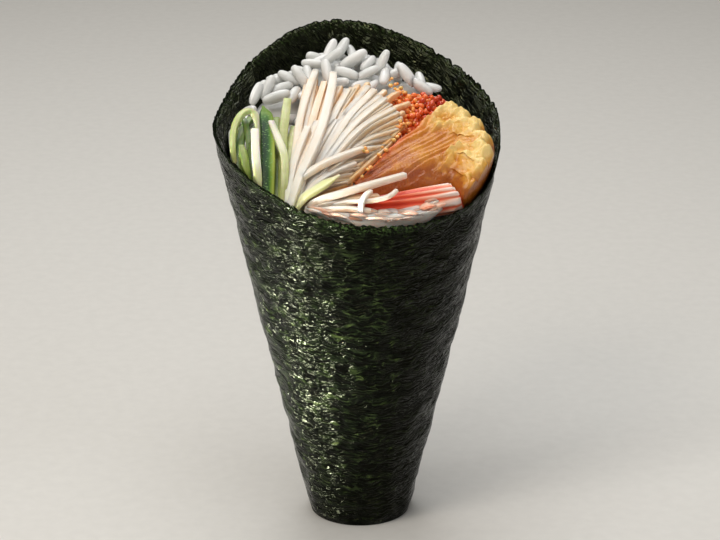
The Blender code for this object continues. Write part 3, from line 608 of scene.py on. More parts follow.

# The white shreds: a fan of pale cut strips, thick as matchsticks, over the middle of the roll. They run from one
# foot at the front left and lie over each other like tiles, and the lower ones are painted a warmer cream as shade.
FAN_FOOT = (-14.6, -24.2)
FAN_STRIPS = (
    # Start and end of each strip in plan, their lifts, its crown, width and stain, from the lowest to the uppermost.
    ((-14.6, -20.0), (-10.4, 17.2), -1.0, 1.5, 1.2, 2.2, 0.30),
    ((-15.2, -16.0), (-12.6, 12.4), -0.6, 1.0, 0.8, 2.1, 0.55),
    ((-13.6, -18.0), (-8.4, 13.9), 0.0, 1.2, 1.6, 2.1, 0.42),
    ((-12.6, -18.4), (-4.6, 12.6), 0.2, 1.2, 1.6, 2.1, 0.52),
    ((-12.0, -18.0), (-2.6, 10.6), 0.6, 2.1, 1.8, 2.2, 0.22),
    ((-10.4, -14.6), (-0.4, 13.9), 0.8, 1.0, 1.6, 2.0, 0.62),
    ((-11.4, -18.6), (0.6, 9.6), 0.8, 2.0, 2.1, 2.3, 0.20),
    ((-9.4, -14.8), (2.0, 12.6), 1.0, 1.8, 1.9, 2.1, 0.28),
    ((-10.4, -18.4), (3.4, 10.6), 1.2, 2.5, 2.2, 2.3, 0.16),
    ((-8.4, -14.6), (4.9, 8.6), 1.5, 2.4, 2.1, 2.1, 0.24),
    ((-9.6, -18.6), (5.9, 7.2), 1.8, 2.9, 2.2, 2.4, 0.12),
    ((-8.2, -16.4), (7.2, 6.0), 1.4, 2.3, 1.9, 1.9, 0.34),
    ((-8.8, -18.2), (7.9, 3.2), 2.0, 3.4, 2.3, 2.5, 0.10),
    ((-6.6, -16.0), (9.6, 2.4), 1.4, 1.9, 1.7, 1.9, 0.50),
    ((-7.0, -16.6), (8.7, -1.0), 1.6, 1.5, 1.8, 1.9, 0.44),
    ((-7.2, -17.4), (7.5, -3.6), 1.6, 1.3, 1.8, 1.9, 0.54),
    ((-7.6, -18.2), (5.8, -6.6), 1.7, 1.3, 1.8, 1.9, 0.40),
    ((-8.4, -19.4), (3.7, -9.4), 1.6, 1.4, 1.6, 1.9, 0.52),
    ((-9.2, -20.6), (1.5, -12.0), 1.4, 1.4, 1.3, 1.8, 0.44),
    ((-10.0, -21.8), (-0.4, -14.8), 1.0, 1.4, 1.1, 1.8, 0.56),
    ((-10.8, -22.8), (-1.8, -16.8), 0.6, 1.2, 0.9, 1.7, 0.50),
    ((-11.4, -23.8), (-2.9, -19.2), 0.2, 1.0, 0.7, 1.7, 0.62),
)
STAINED_STRIPS = (
    # Strips soaked in orange sauce, along the edge that touches the tempura and the roe.
    (((-9.0, -20.8, -2.4), (-3.4, -19.0, 0.4), (2.0, -12.6, 1.2), (7.6, -4.6, 1.2)), 1.4, 0.74),
    (((-6.0, -17.0, -1.4), (1.0, -12.4, 1.0), (6.0, -6.0, 1.5), (10.2, 1.6, 1.0)), 1.3, 0.84),
    (((-8.0, -20.0, -1.4), (-2.6, -16.6, 1.2), (1.6, -11.6, 1.7), (4.6, -8.0, 1.5)), 1.3, 0.62),
    (((-4.0, -12.0, 0.0), (3.6, -3.4, 1.8), (10.2, 4.4, 2.0)), 1.3, 0.56),
    (((-3.0, -10.0, 0.0), (5.4, 3.4, 1.4), (11.6, 9.0, 1.1)), 1.3, 0.60),
    (((-4.0, -8.0, 0.0), (1.6, 5.4, 1.4), (6.0, 12.4, 1.3)), 1.4, 0.46),
    (((-6.0, -8.0, 0.0), (-1.6, 6.4, 1.2), (1.9, 14.4, 1.4)), 1.5, 0.50),
    (((3.6, 6.0, 0.2), (6.8, 10.2, 0.9), (9.0, 13.0, 0.6)), 1.3, 0.66),
)
TOP_SHREDS = (
    # The strips that lie over the fan: points, width, depth, stain and green at the foot.
    (((-16.2, -24.2, -2.0), (-14.9, -14.0, 1.0), (-13.9, -2.3, 2.4), (-12.2, 8.0, 2.6), (-10.5, 16.7, 1.9)),
     1.8, 1.6, 0.14, 0.18),
    (((-15.6, -25.0, -1.6), (-13.6, -20.8, 2.2), (-10.2, -12.1, 4.3), (-8.2, -3.4, 4.5), (-6.7, 8.2, 3.7),
      (-6.3, 15.0, 2.8)), 2.1, 1.7, 0.02, 0.10),
    (((-16.2, -24.0, -1.4), (-15.6, -19.4, 1.4), (-14.1, -13.1, 3.1), (-11.9, -6.2, 4.1)), 1.9, 1.6, 0.06, 0.22),
    (((-13.0, -20.8, 2.6), (-9.0, -18.4, 3.9), (-4.2, -15.6, 4.5), (0.7, -12.7, 4.7)), 1.8, 1.5, 0.05, 0.0),
    (((-14.0, -24.8, -1.6), (-10.0, -21.8, 1.8), (-5.4, -18.4, 2.8), (-1.0, -15.2, 2.9)), 1.5, 1.3, 0.16, 0.10),
    (((-15.0, -24.6, -2.4), (-14.4, -19.6, 1.2), (-12.4, -11.6, 2.4), (-9.8, -2.0, 2.6)), 1.7, 1.5, 0.24, 0.20),
    (((-14.2, -23.8, -1.8), (-12.4, -18.4, 1.8), (-9.4, -11.0, 3.2), (-5.4, -2.2, 3.4)), 1.7, 1.5, 0.12, 0.10),
    (((-14.8, -25.6, -3.0), (-12.8, -25.4, 0.9), (-9.6, -23.8, 2.4), (-4.6, -20.4, 3.6)), 2.7, 1.0, 0.0, 0.55),
    (((-13.0, -24.4, -3.2), (-9.6, -25.8, 1.0), (-4.5, -25.4, 2.8), (1.2, -23.6, 3.7), (10.3, -19.2, 3.9)),
     1.9, 1.6, 0.04, 0.06),
    (((-12.6, -24.0, -3.6), (-7.0, -26.6, 0.6), (-2.4, -26.9, 2.2), (2.7, -27.0, 3.0), (6.3, -26.2, 3.6),
      (8.3, -24.6, 4.1)), 1.15, 1.0, 0.10, 0.0),
    (((2.5, -24.8, 3.6), (1.4, -26.6, 3.9), (0.4, -28.0, 3.0), (0.2, -28.4, 0.8)), 1.25, 1.0, 0.05, 0.0),
    (((-13.4, -25.2, -3.4), (-8.6, -27.2, 0.0), (-3.6, -27.8, 1.2), (2.4, -27.6, 1.0)), 1.5, 1.3, 0.12, 0.0),
    (((-12.8, -25.0, -3.4), (-8.8, -26.4, 0.4), (-5.0, -26.2, 1.3), (-1.6, -25.0, 1.4)), 1.6, 1.3, 0.30, 0.0),
    (((-12.6, -24.8, -3.4), (-8.0, -26.4, 0.2), (-2.0, -25.2, 1.4), (4.2, -23.2, 1.2)), 2.0, 1.6, 0.42, 0.0),
)

# Each layer of the fan, from the lowest: how far it lies below the top one, its painted shade (a warmer cream that
# stands for the shade between the strips) and how much wider it is.
FAN_LAYERS = ((1.5, 0.40, 1.3), (0.5, 0.22, 1.12), (0.0, 0.04, 1.0))
FAN_FOOT_SPREAD = 5.0
FAN_FOOT_LIFT = -3.4
FAN_DEPTH = 1.5
STAINED_DEPTH = 1.4
GREEN_SHRED = 0.4

bm = strip_bmesh()
draw = random.Random(11)
for layer, (drop, layer_painted_shade, widening) in enumerate(FAN_LAYERS):
    for number, strip in enumerate(FAN_STRIPS):
        beside = FAN_STRIPS[min(number + 1, len(FAN_STRIPS) - 1)] if layer == 1 else strip
        start, end = [(Vector(strip[i]) + Vector(beside[i])) / 2 for i in (0, 1)]
        low, high, crown, width, stain = strip[2:]
        foot_side = (number / len(FAN_STRIPS) - 0.5) * FAN_FOOT_SPREAD
        foot = at(FAN_FOOT[0] + 0.7 * foot_side, FAN_FOOT[1] - 0.5 * foot_side, FAN_FOOT_LIFT - 0.5 * drop)
        inner = at(start.x, start.y, low - drop)
        outer = at(end.x - draw.uniform(0.0, 0.6) * drop, end.y - draw.uniform(0.0, 0.9) * drop, high - drop)
        middle = (inner + outer) / 2 + Vector((draw.uniform(-0.3, 0.3), draw.uniform(-0.3, 0.3), crown))
        stain_with_layer_shade = min(0.85, 0.5 * stain + layer_painted_shade)

        def fan_tone(across, along, above):
            # Warmer towards each strip's sides and underside, a painted shade between the strips, and towards its
            # outer end, where sauce stains it.
            warm = stain_with_layer_shade + 0.14 * abs(across) - 0.12 * above + 0.14 * along
            return warm, 0.11 * (1.0 - smooth_step(along / 0.3))

        strip_width = width * draw.uniform(0.72, 0.86) * widening
        add_strip(bm, [foot, inner, middle, outer], strip_width, FAN_DEPTH, fan_tone,
                  10.0 + number * 1.7 + layer * 40.0, stations=22, square=0.26, roll=draw.uniform(-0.2, 0.2))
for number, (points, width, stain) in enumerate(STAINED_STRIPS):

    def sauce_stain_and_shade_tone(across, along, above):
        # Warmer underneath than on top: painted shade over the sauce stain.
        return stain - 0.1 * above, 0.0

    add_strip(bm, [at(*point) for point in points], width, STAINED_DEPTH, sauce_stain_and_shade_tone, 70.0 + number * 1.9,
              stations=22, roll=draw.uniform(-0.3, 0.3))
for number, (points, width, depth, stain, green) in enumerate(TOP_SHREDS):
    green_all_along = green > GREEN_SHRED

    def shred_tone(across, along, above):
        fade = 1.0 if green_all_along else 1.0 - smooth_step(along / 0.5)
        # Warmer towards the sides and underside of the strip: painted shade.
        return stain + 0.14 * abs(across) * (1.0 - above), green * fade

    add_strip(bm, [at(*point) for point in points], width, depth, shred_tone, 90.0 + number * 2.3, stations=30,
              tip=0.3 if green_all_along else 0.85)
keep_in_wrap(bm.verts)

# Pale cut shreds, wet and a little see-through: nearly white, warm cream to tan where sauce has soaked in, and
# warmer on their sides, undersides and lower layers as painted shade.
white_flesh = strip_finish("wet_white_shreds", [
    (0.0, "e6dfd3"), (0.18, "ebdccb"), (0.36, "efd3b6"), (0.58, "ecc093"), (0.80, "e8a462"), (0.95, "e07b3a")], [
    (0.0, "f8f5e2"), (0.3, "f1f0cc"), (0.6, "e4e6a4"), (1.0, "cbd474")], 0.34, (1.0, 0.9, 0.8), 0.13)
finish_piece(bm, "white_shred_fan", [white_flesh], "white_shreds", 50.0)

# The tempura: a leaf of crab meat dipped in batter and fried. Its fibres show as ribs under the thin crust from
# its tip at the left, and the batter has billowed into a thick pale ruffle round its far edge.
TEMPURA_TIP = (-3.0, -20.0)
FIBRE_ORIGIN = (-43.0, -50.0)
TEMPURA_RIB_ANGLE = 0.95
LEAF_START = 3.0
RUFFLE_LOBES = 6.3
RUFFLE_WIDTH = 9.5
FAR_DROP = 3.6
SIDE_DROP = 2.2
BROWNING_SCALE = 330.0
BUBBLE_SCALE = 1100.0
TEMPURA_COLUMNS = 260
TEMPURA_ROWS = 180
BED_LIFT = -6.0
BED_GAP = 0.3


def tempura_bearing(across, along):
    low = 16.0 - 12.0 * smooth_step((along - 0.78) / 0.10)
    high = 53.0 - 4.0 * along * along
    return low + (high - low) * across


def ruffle_lobe(across):
    """How far out the ruffle bulges at a place along its border, from 0 to 1."""
    wander = 0.5 * rough(across * 5.0, 7.0, 0.0)
    return abs(math.sin(math.pi * (RUFFLE_LOBES * across + wander) + 0.9))


def tempura_far(across):
    """How far the leaf reaches from its tip."""
    here = tempura_bearing(across, 1.0)
    far = 38.4 - 0.0075 * (38.0 - here) ** 2 - 0.5 * max(0.0, here - 44.0)
    lobes = 1.7 * ruffle_lobe(across) - 1.1
    lobes += 0.2 * abs(rough(across * 20.0, 5.0, 0.0))
    return far + lobes + 0.5 * rough(across * 9.0, 3.0, 0.0)


def tempura_ruffle(across, inset):
    """How far a place is in the puffed border, from 0 on the ribbed body to 1, by its distance from the far edge."""
    width = RUFFLE_WIDTH + 3.0 * math.sin(2.6 * math.pi * across + 0.5)
    corner = (1.0 - smooth_step((inset - 11.0) / 5.0)) * (1.0 - smooth_step((across - 0.06) / 0.2))
    return max(corner, 1.0 - smooth_step((inset - width + 3.0) / 5.0))


def tempura_top(across, along, inset, x, y):
    """The crust's lift: a ribbed body that rises from the tip, and a ruffle that rolls, folds, puffs and creases."""
    ruffle = tempura_ruffle(across, inset)
    around = across * 32.0
    body = 0.3 + 2.0 * smooth_step(along / 0.5)
    body -= (3.4 - 1.5 * smooth_step((along - 0.6) / 0.25)) * (1.0 - smooth_step(across / 0.34)) ** 1.5
    distance_from_tip = math.hypot(x - TEMPURA_TIP[0], y - TEMPURA_TIP[1])
    fibre = math.degrees(math.atan2(y - FIBRE_ORIGIN[1], x - FIBRE_ORIGIN[0])) / TEMPURA_RIB_ANGLE
    fibre += 0.7 * rough(along * 3.0, fibre * 0.6, 6.0)
    ribs = 0.10 * math.cos(2.0 * math.pi * fibre) + 0.50 * rough(fibre * 0.45, along * 2.0, 2.0)
    ribs += 0.24 * rough(fibre * 1.2, along * 5.0, 4.0)
    ribs += 0.05 * math.sin(distance_from_tip * 9.0 + 2.0 * fibre)
    ribs *= smooth_step(along / 0.12) * (1.0 - 0.85 * ruffle)
    roll = (1.4 + 0.8 * ruffle_lobe(across)) * math.exp(-((inset - 2.8) / 2.1) ** 2)
    fold_place = 7.6 + 1.0 * math.sin(around / 3.4) + 0.8 * rough(around / 3.0, 1.0, 0.0)
    fold = (1.1 + 0.8 * rough(around / 4.0, 9.0, 0.0)) * math.exp(-((inset - fold_place) / 1.3) ** 2)
    puffs = 1.7 * abs(rough(x / 3.2, y / 2.6, 5.0))
    puffs += 0.6 * abs(rough(x / 1.7, y / 1.5, 8.0)) - 0.3
    crease = rough(x / 6.5, y / 4.6, 11.0) + 0.15 * rough(x / 2.2, y / 2.2, 12.0)
    creases = -0.35 * math.exp(-(crease / 0.25) ** 2)
    bubbles = 0.11 * rough(x / 0.75, y / 0.75, 7.0) + 0.06 * rough(x / 0.4, y / 0.4, 1.0)
    billow = (0.65 + 0.35 * smooth_step(across / 0.3)) * (0.3 + roll + fold + puffs + creases)
    return body + ribs + ruffle * billow + bubbles * (0.6 + 0.6 * ruffle)


bm = bmesh.new()
crust = bm.verts.layers.float_vector.new("crust")
made = bmesh.ops.create_grid(bm, x_segments=TEMPURA_COLUMNS, y_segments=TEMPURA_ROWS, size=1.0)
for vert in made["verts"]:
    across = (vert.co.x + 1.0) / 2.0
    row = (vert.co.y + 1.0) / 2.0
    along = min(1.0, row + 0.12 * math.sin(math.pi * row) * row)
    reach = tempura_far(across) - LEAF_START
    x, y = toward(TEMPURA_TIP, tempura_bearing(across, along), LEAF_START + reach * along)
    inset = reach * (1.0 - along)
    lift = tempura_top(across, along, inset, x, y)
    far_edge = min(1.0, max(0.0, (1.0 - along) / 0.09))
    side_edge = min(1.0, across / 0.05 + 0.02, (1.0 - across) / 0.05 + 0.02)
    far_fall = 1.0 - math.sqrt(1.0 - (1.0 - far_edge) ** 2)
    side_fall = 1.0 - math.sqrt(1.0 - (1.0 - side_edge) ** 2)
    lift -= FAR_DROP * far_fall + SIDE_DROP * side_fall
    glaze = smooth_step((across - 0.80) / 0.2) * (1.0 - smooth_step((along - 0.55) / 0.35))
    # The second share, the crust's lift, later paints its crests lighter and its hollows darker: painted light and
    # shade.
    vert[crust] = (tempura_ruffle(across, inset), lift - 2.0, glaze)
    vert.co = at(x, y, lift)
keep_in_wrap(bm.verts)
rim_edges = [edge for edge in bm.edges if edge.is_boundary]
skirt = bmesh.ops.extrude_edge_only(bm, edges=rim_edges)["geom"]
skirt_verts = [item for item in skirt if isinstance(item, bmesh.types.BMVert)]
for _ in range(3):
    for vert in skirt_verts:
        vert.co = at(vert.co.x, vert.co.y, BED_LIFT + BED_GAP)
    keep_in_wrap(skirt_verts)
# The extrusion makes its faces in an order that changes from run to run, so they are put in order by their place.
skirt_faces = [item for item in skirt if isinstance(item, bmesh.types.BMFace)]
skirt_faces.sort(key=lambda face: face.calc_center_median()[:])
bm.faces.index_update()
for place, face in enumerate(skirt_faces, len(bm.faces) - len(skirt_faces)):
    face.index = place
bm.faces.sort()
hem = [item for item in skirt if isinstance(item, bmesh.types.BMEdge) and item.is_boundary]
bmesh.ops.contextual_create(bm, geom=hem)

# Fried batter: an oily golden crust, browned in patches and pale yellow in its puffed ruffle, with fine bubbles,
# and painted lighter on its crests and darker in its hollows as light and shade.
# Its browned patches are 3 mm across, and the bubbles 1 mm, a little coarser than real ones so that they show.
tempura, tempura_shader = new_material("fried_batter", {
    "IOR": 1.46, "Subsurface Weight": 0.15, "Subsurface Scale": 0.0006, "Subsurface Radius": (1.0, 0.6, 0.25),
    "Coat Weight": 0.3, "Coat Roughness": 0.18})
crust_place = add_node(tempura, "Attribute", attribute_name="crust").outputs["Vector"]
crust_split = add_node(tempura, "SeparateXYZ", {"Vector": crust_place})
object_place = add_node(tempura, "TexCoord").outputs["Object"]
browning = add_node(tempura, "TexNoise", {"Vector": object_place, "Scale": BROWNING_SCALE, "Detail": 5.0})
bubbles = add_node(tempura, "TexNoise", {"Vector": object_place, "Scale": BUBBLE_SCALE, "Detail": 3.0})
# The crust's height lightens its crests and darkens its hollows: painted light and shade.
height = add_node(tempura, "MapRange", {"Value": crust_split.outputs["Y"], "From Min": -1.6, "From Max": 2.6})
body_mix = add_node(tempura, "Math", {0: height, 1: browning}, operation="ADD")
body_mix = add_node(tempura, "MapRange", {"Value": body_mix, "From Min": 0.55, "From Max": 1.45})
body_colour = add_node(tempura, "ValToRGB", {"Fac": body_mix}, stops=[
    (0.0, "9c4a08"), (0.3, "bb6c12"), (0.6, "cd8520"), (1.0, "e6b454")])
ruffle_colour = add_node(tempura, "ValToRGB", {"Fac": body_mix}, stops=[
    (0.08, "a65a14"), (0.30, "ce8a2c"), (0.54, "e2aa4a"), (0.90, "f2d284")])
crust_mix = add_node(tempura, "Mix", {"Factor": crust_split.outputs["X"], "A": body_colour,
                                      "B": ruffle_colour}, data_type="RGBA")
crust_mix = add_node(tempura, "Mix", {"Factor": crust_split.outputs["Z"], "A": crust_mix,
                                      "B": linear("d9652a")}, data_type="RGBA")
crust_gloss = add_node(tempura, "MapRange", {"Value": browning, "To Min": 0.22, "To Max": 0.55})
crust_bump = add_node(tempura, "Bump", {"Height": bubbles, "Strength": 0.6, "Distance": 0.0004})
set_inputs(tempura_shader, {"Base Color": crust_mix, "Roughness": crust_gloss, "Normal": crust_bump})
finish_piece(bm, "crab_tempura_leaf", [tempura], "crab_tempura")

# The crab stick: a rolled sheet of fish paste, white inside with a red skin. It lies along the front wall, pulled
# into bands lengthwise, cut across at the right and tapering under the shreds at the left.
STICK_PATH = ((-3.2, -24.2, -2.6), (9.8, -21.2, -2.0), (22.6, -17.2, -1.8))
STICK_WIDTH = 6.0
STICK_DEPTH = 6.6
STICK_COLUMNS = 144
STICK_RINGS = 90
STICK_FOLDS = 11.0
STICK_LENGTH = 23.0
STICK_CUT_SLANT = 1.7
STICK_CUT_END = 0.94

bm = bmesh.new()
band = bm.verts.layers.float_vector.new("band")
stick_points = [at(*point) for point in STICK_PATH]


def place_on_stick(ring, column, vert):
    share = max(0.0, min(1.0, (ring - 1) / (STICK_RINGS - 1)))
    here, forward, side, up = path_frame(stick_points, share)
    angle = 2.0 * math.pi * column / STICK_COLUMNS - math.pi / 2
    grow = 0.35 + 0.65 * smooth_step(share / 0.75)
    folds = rough(angle * 3.4, share * 0.9, 3.0)
    strands = rough(angle * 13.0, share * 2.4, 8.0)
    wave = STICK_FOLDS * angle + 1.5 * rough(angle * 1.5, share * 1.2, 14.0)
    lobe = 1.0 + 0.05 * math.cos(wave) + 0.05 * folds + 0.02 * strands
    groove = (0.5 - 0.5 * math.cos(wave)) ** 2
    across, above = squared(math.cos(angle), 0.7), squared(math.sin(angle), 0.8)
    edge = 1.0
    if ring > STICK_RINGS - 2 or ring < 2:
        edge = 0.0 if ring in (0, STICK_RINGS + 1) else STICK_CUT_END
    cut = ring >= STICK_RINGS and above < 0.5
    vert[band] = (angle, 0.0 if cut else share * STICK_LENGTH, groove)
    slant = -STICK_CUT_SLANT * above * smooth_step((share - 0.7) / 0.3) * (0.4 if ring > STICK_RINGS else 1.0)
    half_width = lobe * grow * STICK_WIDTH / 2 * edge
    half_depth = lobe * STICK_DEPTH / 2 * (0.75 + 0.25 * grow) * edge
    return here + forward.normalized() * slant + side * across * half_width + up * above * half_depth


skin(bm, STICK_COLUMNS, STICK_RINGS, place_on_stick)
keep_in_wrap(bm.verts)

# Pressed fish paste: smooth, moist and slightly see-through, white with a coral red skin that thins into bands.
stick_paste, stick_shader = new_material("crab_stick_paste", {
    "IOR": 1.4, "Subsurface Weight": 0.2, "Subsurface Scale": 0.0006, "Subsurface Radius": (1.0, 0.4, 0.3),
    "Coat Weight": 0.12, "Coat Roughness": 0.2})
band_place = add_node(stick_paste, "Attribute", attribute_name="band").outputs["Vector"]
band_split = add_node(stick_paste, "SeparateXYZ", {"Vector": band_place})
band_map = add_node(stick_paste, "Mapping", {"Vector": band_place, "Scale": (3.4, 0.025, 0.0)})
band_noise = add_node(stick_paste, "TexNoise", {"Vector": band_map, "Scale": 1.0, "Detail": 2.0})
hair_map = add_node(stick_paste, "Mapping", {"Vector": band_place, "Scale": (16.0, 0.25, 0.0)})
hairs = add_node(stick_paste, "TexNoise", {"Vector": hair_map, "Scale": 1.0, "Detail": 3.0})
reach = add_node(stick_paste, "MapRange", {"Value": band_split.outputs["Y"], "From Min": 5.0, "From Max": 22.0,
                                           "To Min": 0.92, "To Max": 0.10})
patches = add_node(stick_paste, "MapRange", {"Value": band_noise, "From Min": 0.3, "From Max": 0.7,
                                             "To Min": -0.16, "To Max": 0.16})
hair_share = add_node(stick_paste, "MapRange", {"Value": hairs, "To Min": -0.16, "To Max": 0.16})
redness = add_node(stick_paste, "Math", {0: band_split.outputs["Z"], 1: 0.42, 2: reach}, operation="MULTIPLY_ADD")
redness = add_node(stick_paste, "Math", {0: redness, 1: patches}, operation="ADD")
redness = add_node(stick_paste, "Math", {0: redness, 1: hair_share}, operation="ADD")
stick_colour = add_node(stick_paste, "ValToRGB", {"Fac": redness}, stops=[
    (0.08, "f6dfd4"), (0.30, "f5bfa6"), (0.50, "ee8a68"), (0.72, "e25330"), (1.0, "c93414")])
stick_gloss = add_node(stick_paste, "MapRange", {"Value": hairs, "To Min": 0.25, "To Max": 0.45})
stick_bump = add_node(stick_paste, "Bump", {"Height": hairs, "Strength": 0.5, "Distance": 0.0003})
set_inputs(stick_shader, {"Base Color": stick_colour, "Roughness": stick_gloss, "Normal": stick_bump})
finish_piece(bm, "crab_stick_length", [stick_paste], "crab_stick", 60.0)

# The crab flakes: the same white paste pulled apart into fine pink and white strands. They are tucked in along
# the front rim, with the longest lying on top.
FLAKE_RIDGE = (-116.0, -98.0, -80.0, -62.0, -47.0)
FLAKE_RIDGE_THICKNESS = 3.6
FLAKE_STRANDS = 38
FLAKE_START = -111.0
FLAKE_SPREAD = 60.0
FLAKE_SIDES = (-120.0, -44.0)
FLAKE_REDNESS = (0.1, 0.2, 0.3, 0.35, 0.45, 0.6)


def along_rim(bearing, inset, lift):
    reach = room_at_lift(bearing, lift) - inset
    return at(*toward((0, 0), bearing, reach), lift)


bm = strip_bmesh()
draw = random.Random(23)
add_strip(bm, [along_rim(bearing, 2.0, -1.7) for bearing in FLAKE_RIDGE], FLAKE_RIDGE_THICKNESS, FLAKE_RIDGE_THICKNESS,
          lambda across, along, above: (0.2, 0.0), 3.0, tip=0.35, foot=0.7)
for strand in range(FLAKE_STRANDS):
    middle = FLAKE_START + FLAKE_SPREAD * strand / FLAKE_STRANDS + draw.uniform(-2.0, 2.0)
    half = draw.uniform(4.5, 9.0)
    inset = draw.uniform(0.35, 3.4)
    high = 0.35 + draw.uniform(-0.7, 0.4)
    cross = draw.uniform(-0.7, 0.7)
    redness = draw.choice(FLAKE_REDNESS)
    points = [along_rim(max(FLAKE_SIDES[0], middle - half), inset + 0.3 + cross, high - 0.9),
              along_rim(middle, inset, high),
              along_rim(min(FLAKE_SIDES[1], middle + half), inset + 0.2 - cross, high - 0.9)]
    add_strip(bm, points, draw.uniform(1.5, 2.7), draw.uniform(0.5, 0.8),
              lambda across, along, above: (redness + 0.2 * abs(across), 0.0), 200.0 + strand, stations=14, columns=8,
              tip=0.4, foot=0.4)
keep_in_wrap(bm.verts)

# Pulled crab paste: moist white strands with pale pink where the red skin was.
flake_paste = strip_finish("pulled_crab_paste", [
    (0.0, "fff0e6"), (0.3, "ffdccc"), (0.6, "fdbda4"), (0.95, "f08e6c")], [(0.0, "fff2ea"), (1.0, "fff2ea")],
    0.34, (1.0, 0.6, 0.5), 0.12)
finish_piece(bm, "crab_flake_strands", [flake_paste], "crab_flakes", 60.0)

# The roe: salted fish eggs, each a taut bead full of orange oil, heaped between the tips of the shreds and the
# tempura. They lie at true size on a low mound of the same roe.
ROE_MIDDLE = (12.4, 9.4)
ROE_OUTLINE = ((-90, 7.5), (-60, 5.6), (-30, 6.0), (0, 9.8), (30, 11.4), (60, 9.4), (90, 7.8), (120, 8.2),
               (150, 7.4), (180, 6.2), (210, 8.8), (240, 13.0), (270, 7.5))
ROE_WIDTH = 1.65
ROE_SAG = 2.2
BEAD_COLUMNS = 7
BEAD_RINGS = 5
ROE_AREA = (2.0, 26.0, -4.0, 21.0)
STRAY_SHARES = (0.4, 0.75)
STRAY_ROE = (
    # x, y and lift of each knot of eggs that has strayed over the shreds, its spread and how many eggs.
    (1.3, -13.0, 4.6, 0.38, 7), (4.0, -11.0, 2.3, 0.5, 2), (5.4, -9.0, 2.1, 0.6, 3), (7.2, -5.8, 2.1, 0.5, 2),
    (8.8, -2.4, 2.1, 0.6, 4), (10.0, 0.6, 2.0, 0.6, 5), (2.2, -14.4, 1.9, 0.5, 2), (0.4, -17.0, 1.6, 0.5, 2),
    (7.1, 17.8, 0.2, 0.7, 5), (8.8, 16.0, 0.2, 0.7, 6), (10.4, 14.2, 0.2, 0.7, 6),
)
ROW_STEP = 0.87
BANK_LIFT = -1.6
BANK_EDGE = 11.4
BANK_EDGE_SLOPE = 0.345
BANK_RAMP = 5.0
BANK_CREST = 25.0
BANK_PEAK = 4.5
BANK_PEAK_BEARING = 101.0
BANK_PEAK_WIDTH = 15.0
BANK_FALL = 8.0
BANK_FALL_WIDTH = 6.0
HOLLOW_SIDES = (28.0, 160.0)
HOLLOW_RAMP = 12.0


# The bank of rice behind the toppings, whose surface the roe, and the rice further down, both follow.
def past_crest(x, y):
    """How far down the bank's outer slope a place is: 0 on the heap, 1 at the foot of the slope by the seaweed."""
    bearing = math.degrees(math.atan2(y, x))
    crest = BANK_CREST + BANK_PEAK * math.exp(-((bearing - BANK_PEAK_BEARING) / BANK_PEAK_WIDTH) ** 2)
    behind = smooth_step((bearing - HOLLOW_SIDES[0]) / HOLLOW_RAMP)
    behind *= smooth_step((HOLLOW_SIDES[1] + HOLLOW_RAMP - bearing) / HOLLOW_RAMP)
    return behind * smooth_step((math.hypot(x, y) - crest) / BANK_FALL_WIDTH)


def bank_lift(x, y):
    """The rice's lift: flat under the toppings, heaped behind them, and falling away from the seaweed at the back."""
    raised = smooth_step((y - BANK_EDGE - BANK_EDGE_SLOPE * x) / BANK_RAMP)
    return BED_LIFT + raised * (BANK_LIFT - BED_LIFT) - BANK_FALL * past_crest(x, y)


def roe_edge(bearing):
    bearing = (bearing + 90.0) % 360.0 - 90.0
    for (start, near), (end, far) in zip(ROE_OUTLINE, ROE_OUTLINE[1:]):
        if bearing <= end:
            return near + (far - near) * smooth_step((bearing - start) / (end - start))
    return ROE_OUTLINE[-1][1]


def scatter(spacing, bounds, draw):
    """Even rows of places, each second row shifted half a step, with a seeded shift of each place."""
    left, right, front, back_edge = bounds
    rows = int((back_edge - front) / (spacing * ROW_STEP))
    columns = int((right - left) / spacing)
    for row in range(rows):
        for column in range(columns):
            x = left + (column + (row % 2) / 2) * spacing
            y = front + row * spacing * ROW_STEP
            yield x + draw.uniform(-0.3, 0.3) * spacing, y + draw.uniform(-0.3, 0.3) * spacing


def seed_bmesh():
    bm = bmesh.new()
    bm.verts.layers.float.new("shade")
    return bm


def add_seed(bm, centre, turn, length, width, height, columns, rings, shade, blunt=0.8):
    """One grain or bead: a ball stretched along its own X axis."""
    piece = seed_bmesh()
    layer = piece.verts.layers.float["shade"]

    def place(ring, column, vert):
        polar = math.pi * ring / (rings + 1)
        angle = 2.0 * math.pi * column / columns
        thick = math.sin(polar) ** blunt / 2
        vert[layer] = shade
        return centre + turn @ Vector((math.cos(polar) * length / 2, thick * width * math.cos(angle),
                                       thick * height * math.sin(angle)))

    skin(piece, columns, rings, place)
    add_to(bm, piece)


MOUND_COLUMNS = 48
MOUND_TOP_RINGS = 10
MOUND_SIDE_RINGS = 2
MOUND_LIFT = -1.5

bm = seed_bmesh()
shade_layer = bm.verts.layers.float["shade"]


def place_on_mound(ring, column, vert):
    bearing = 360.0 * column / MOUND_COLUMNS
    vert[shade_layer] = 0.75
    if ring <= MOUND_TOP_RINGS:
        share = ring / MOUND_TOP_RINGS
        x, y = toward(ROE_MIDDLE, bearing, roe_edge(bearing) * share)
        return at(x, y, MOUND_LIFT - ROE_SAG * share**3)
    share = (MOUND_TOP_RINGS + MOUND_SIDE_RINGS + 1 - ring) / MOUND_SIDE_RINGS
    x, y = toward(ROE_MIDDLE, bearing, roe_edge(bearing) * share)
    return at(x, y, max(BED_LIFT, bank_lift(x, y)) + 0.9)


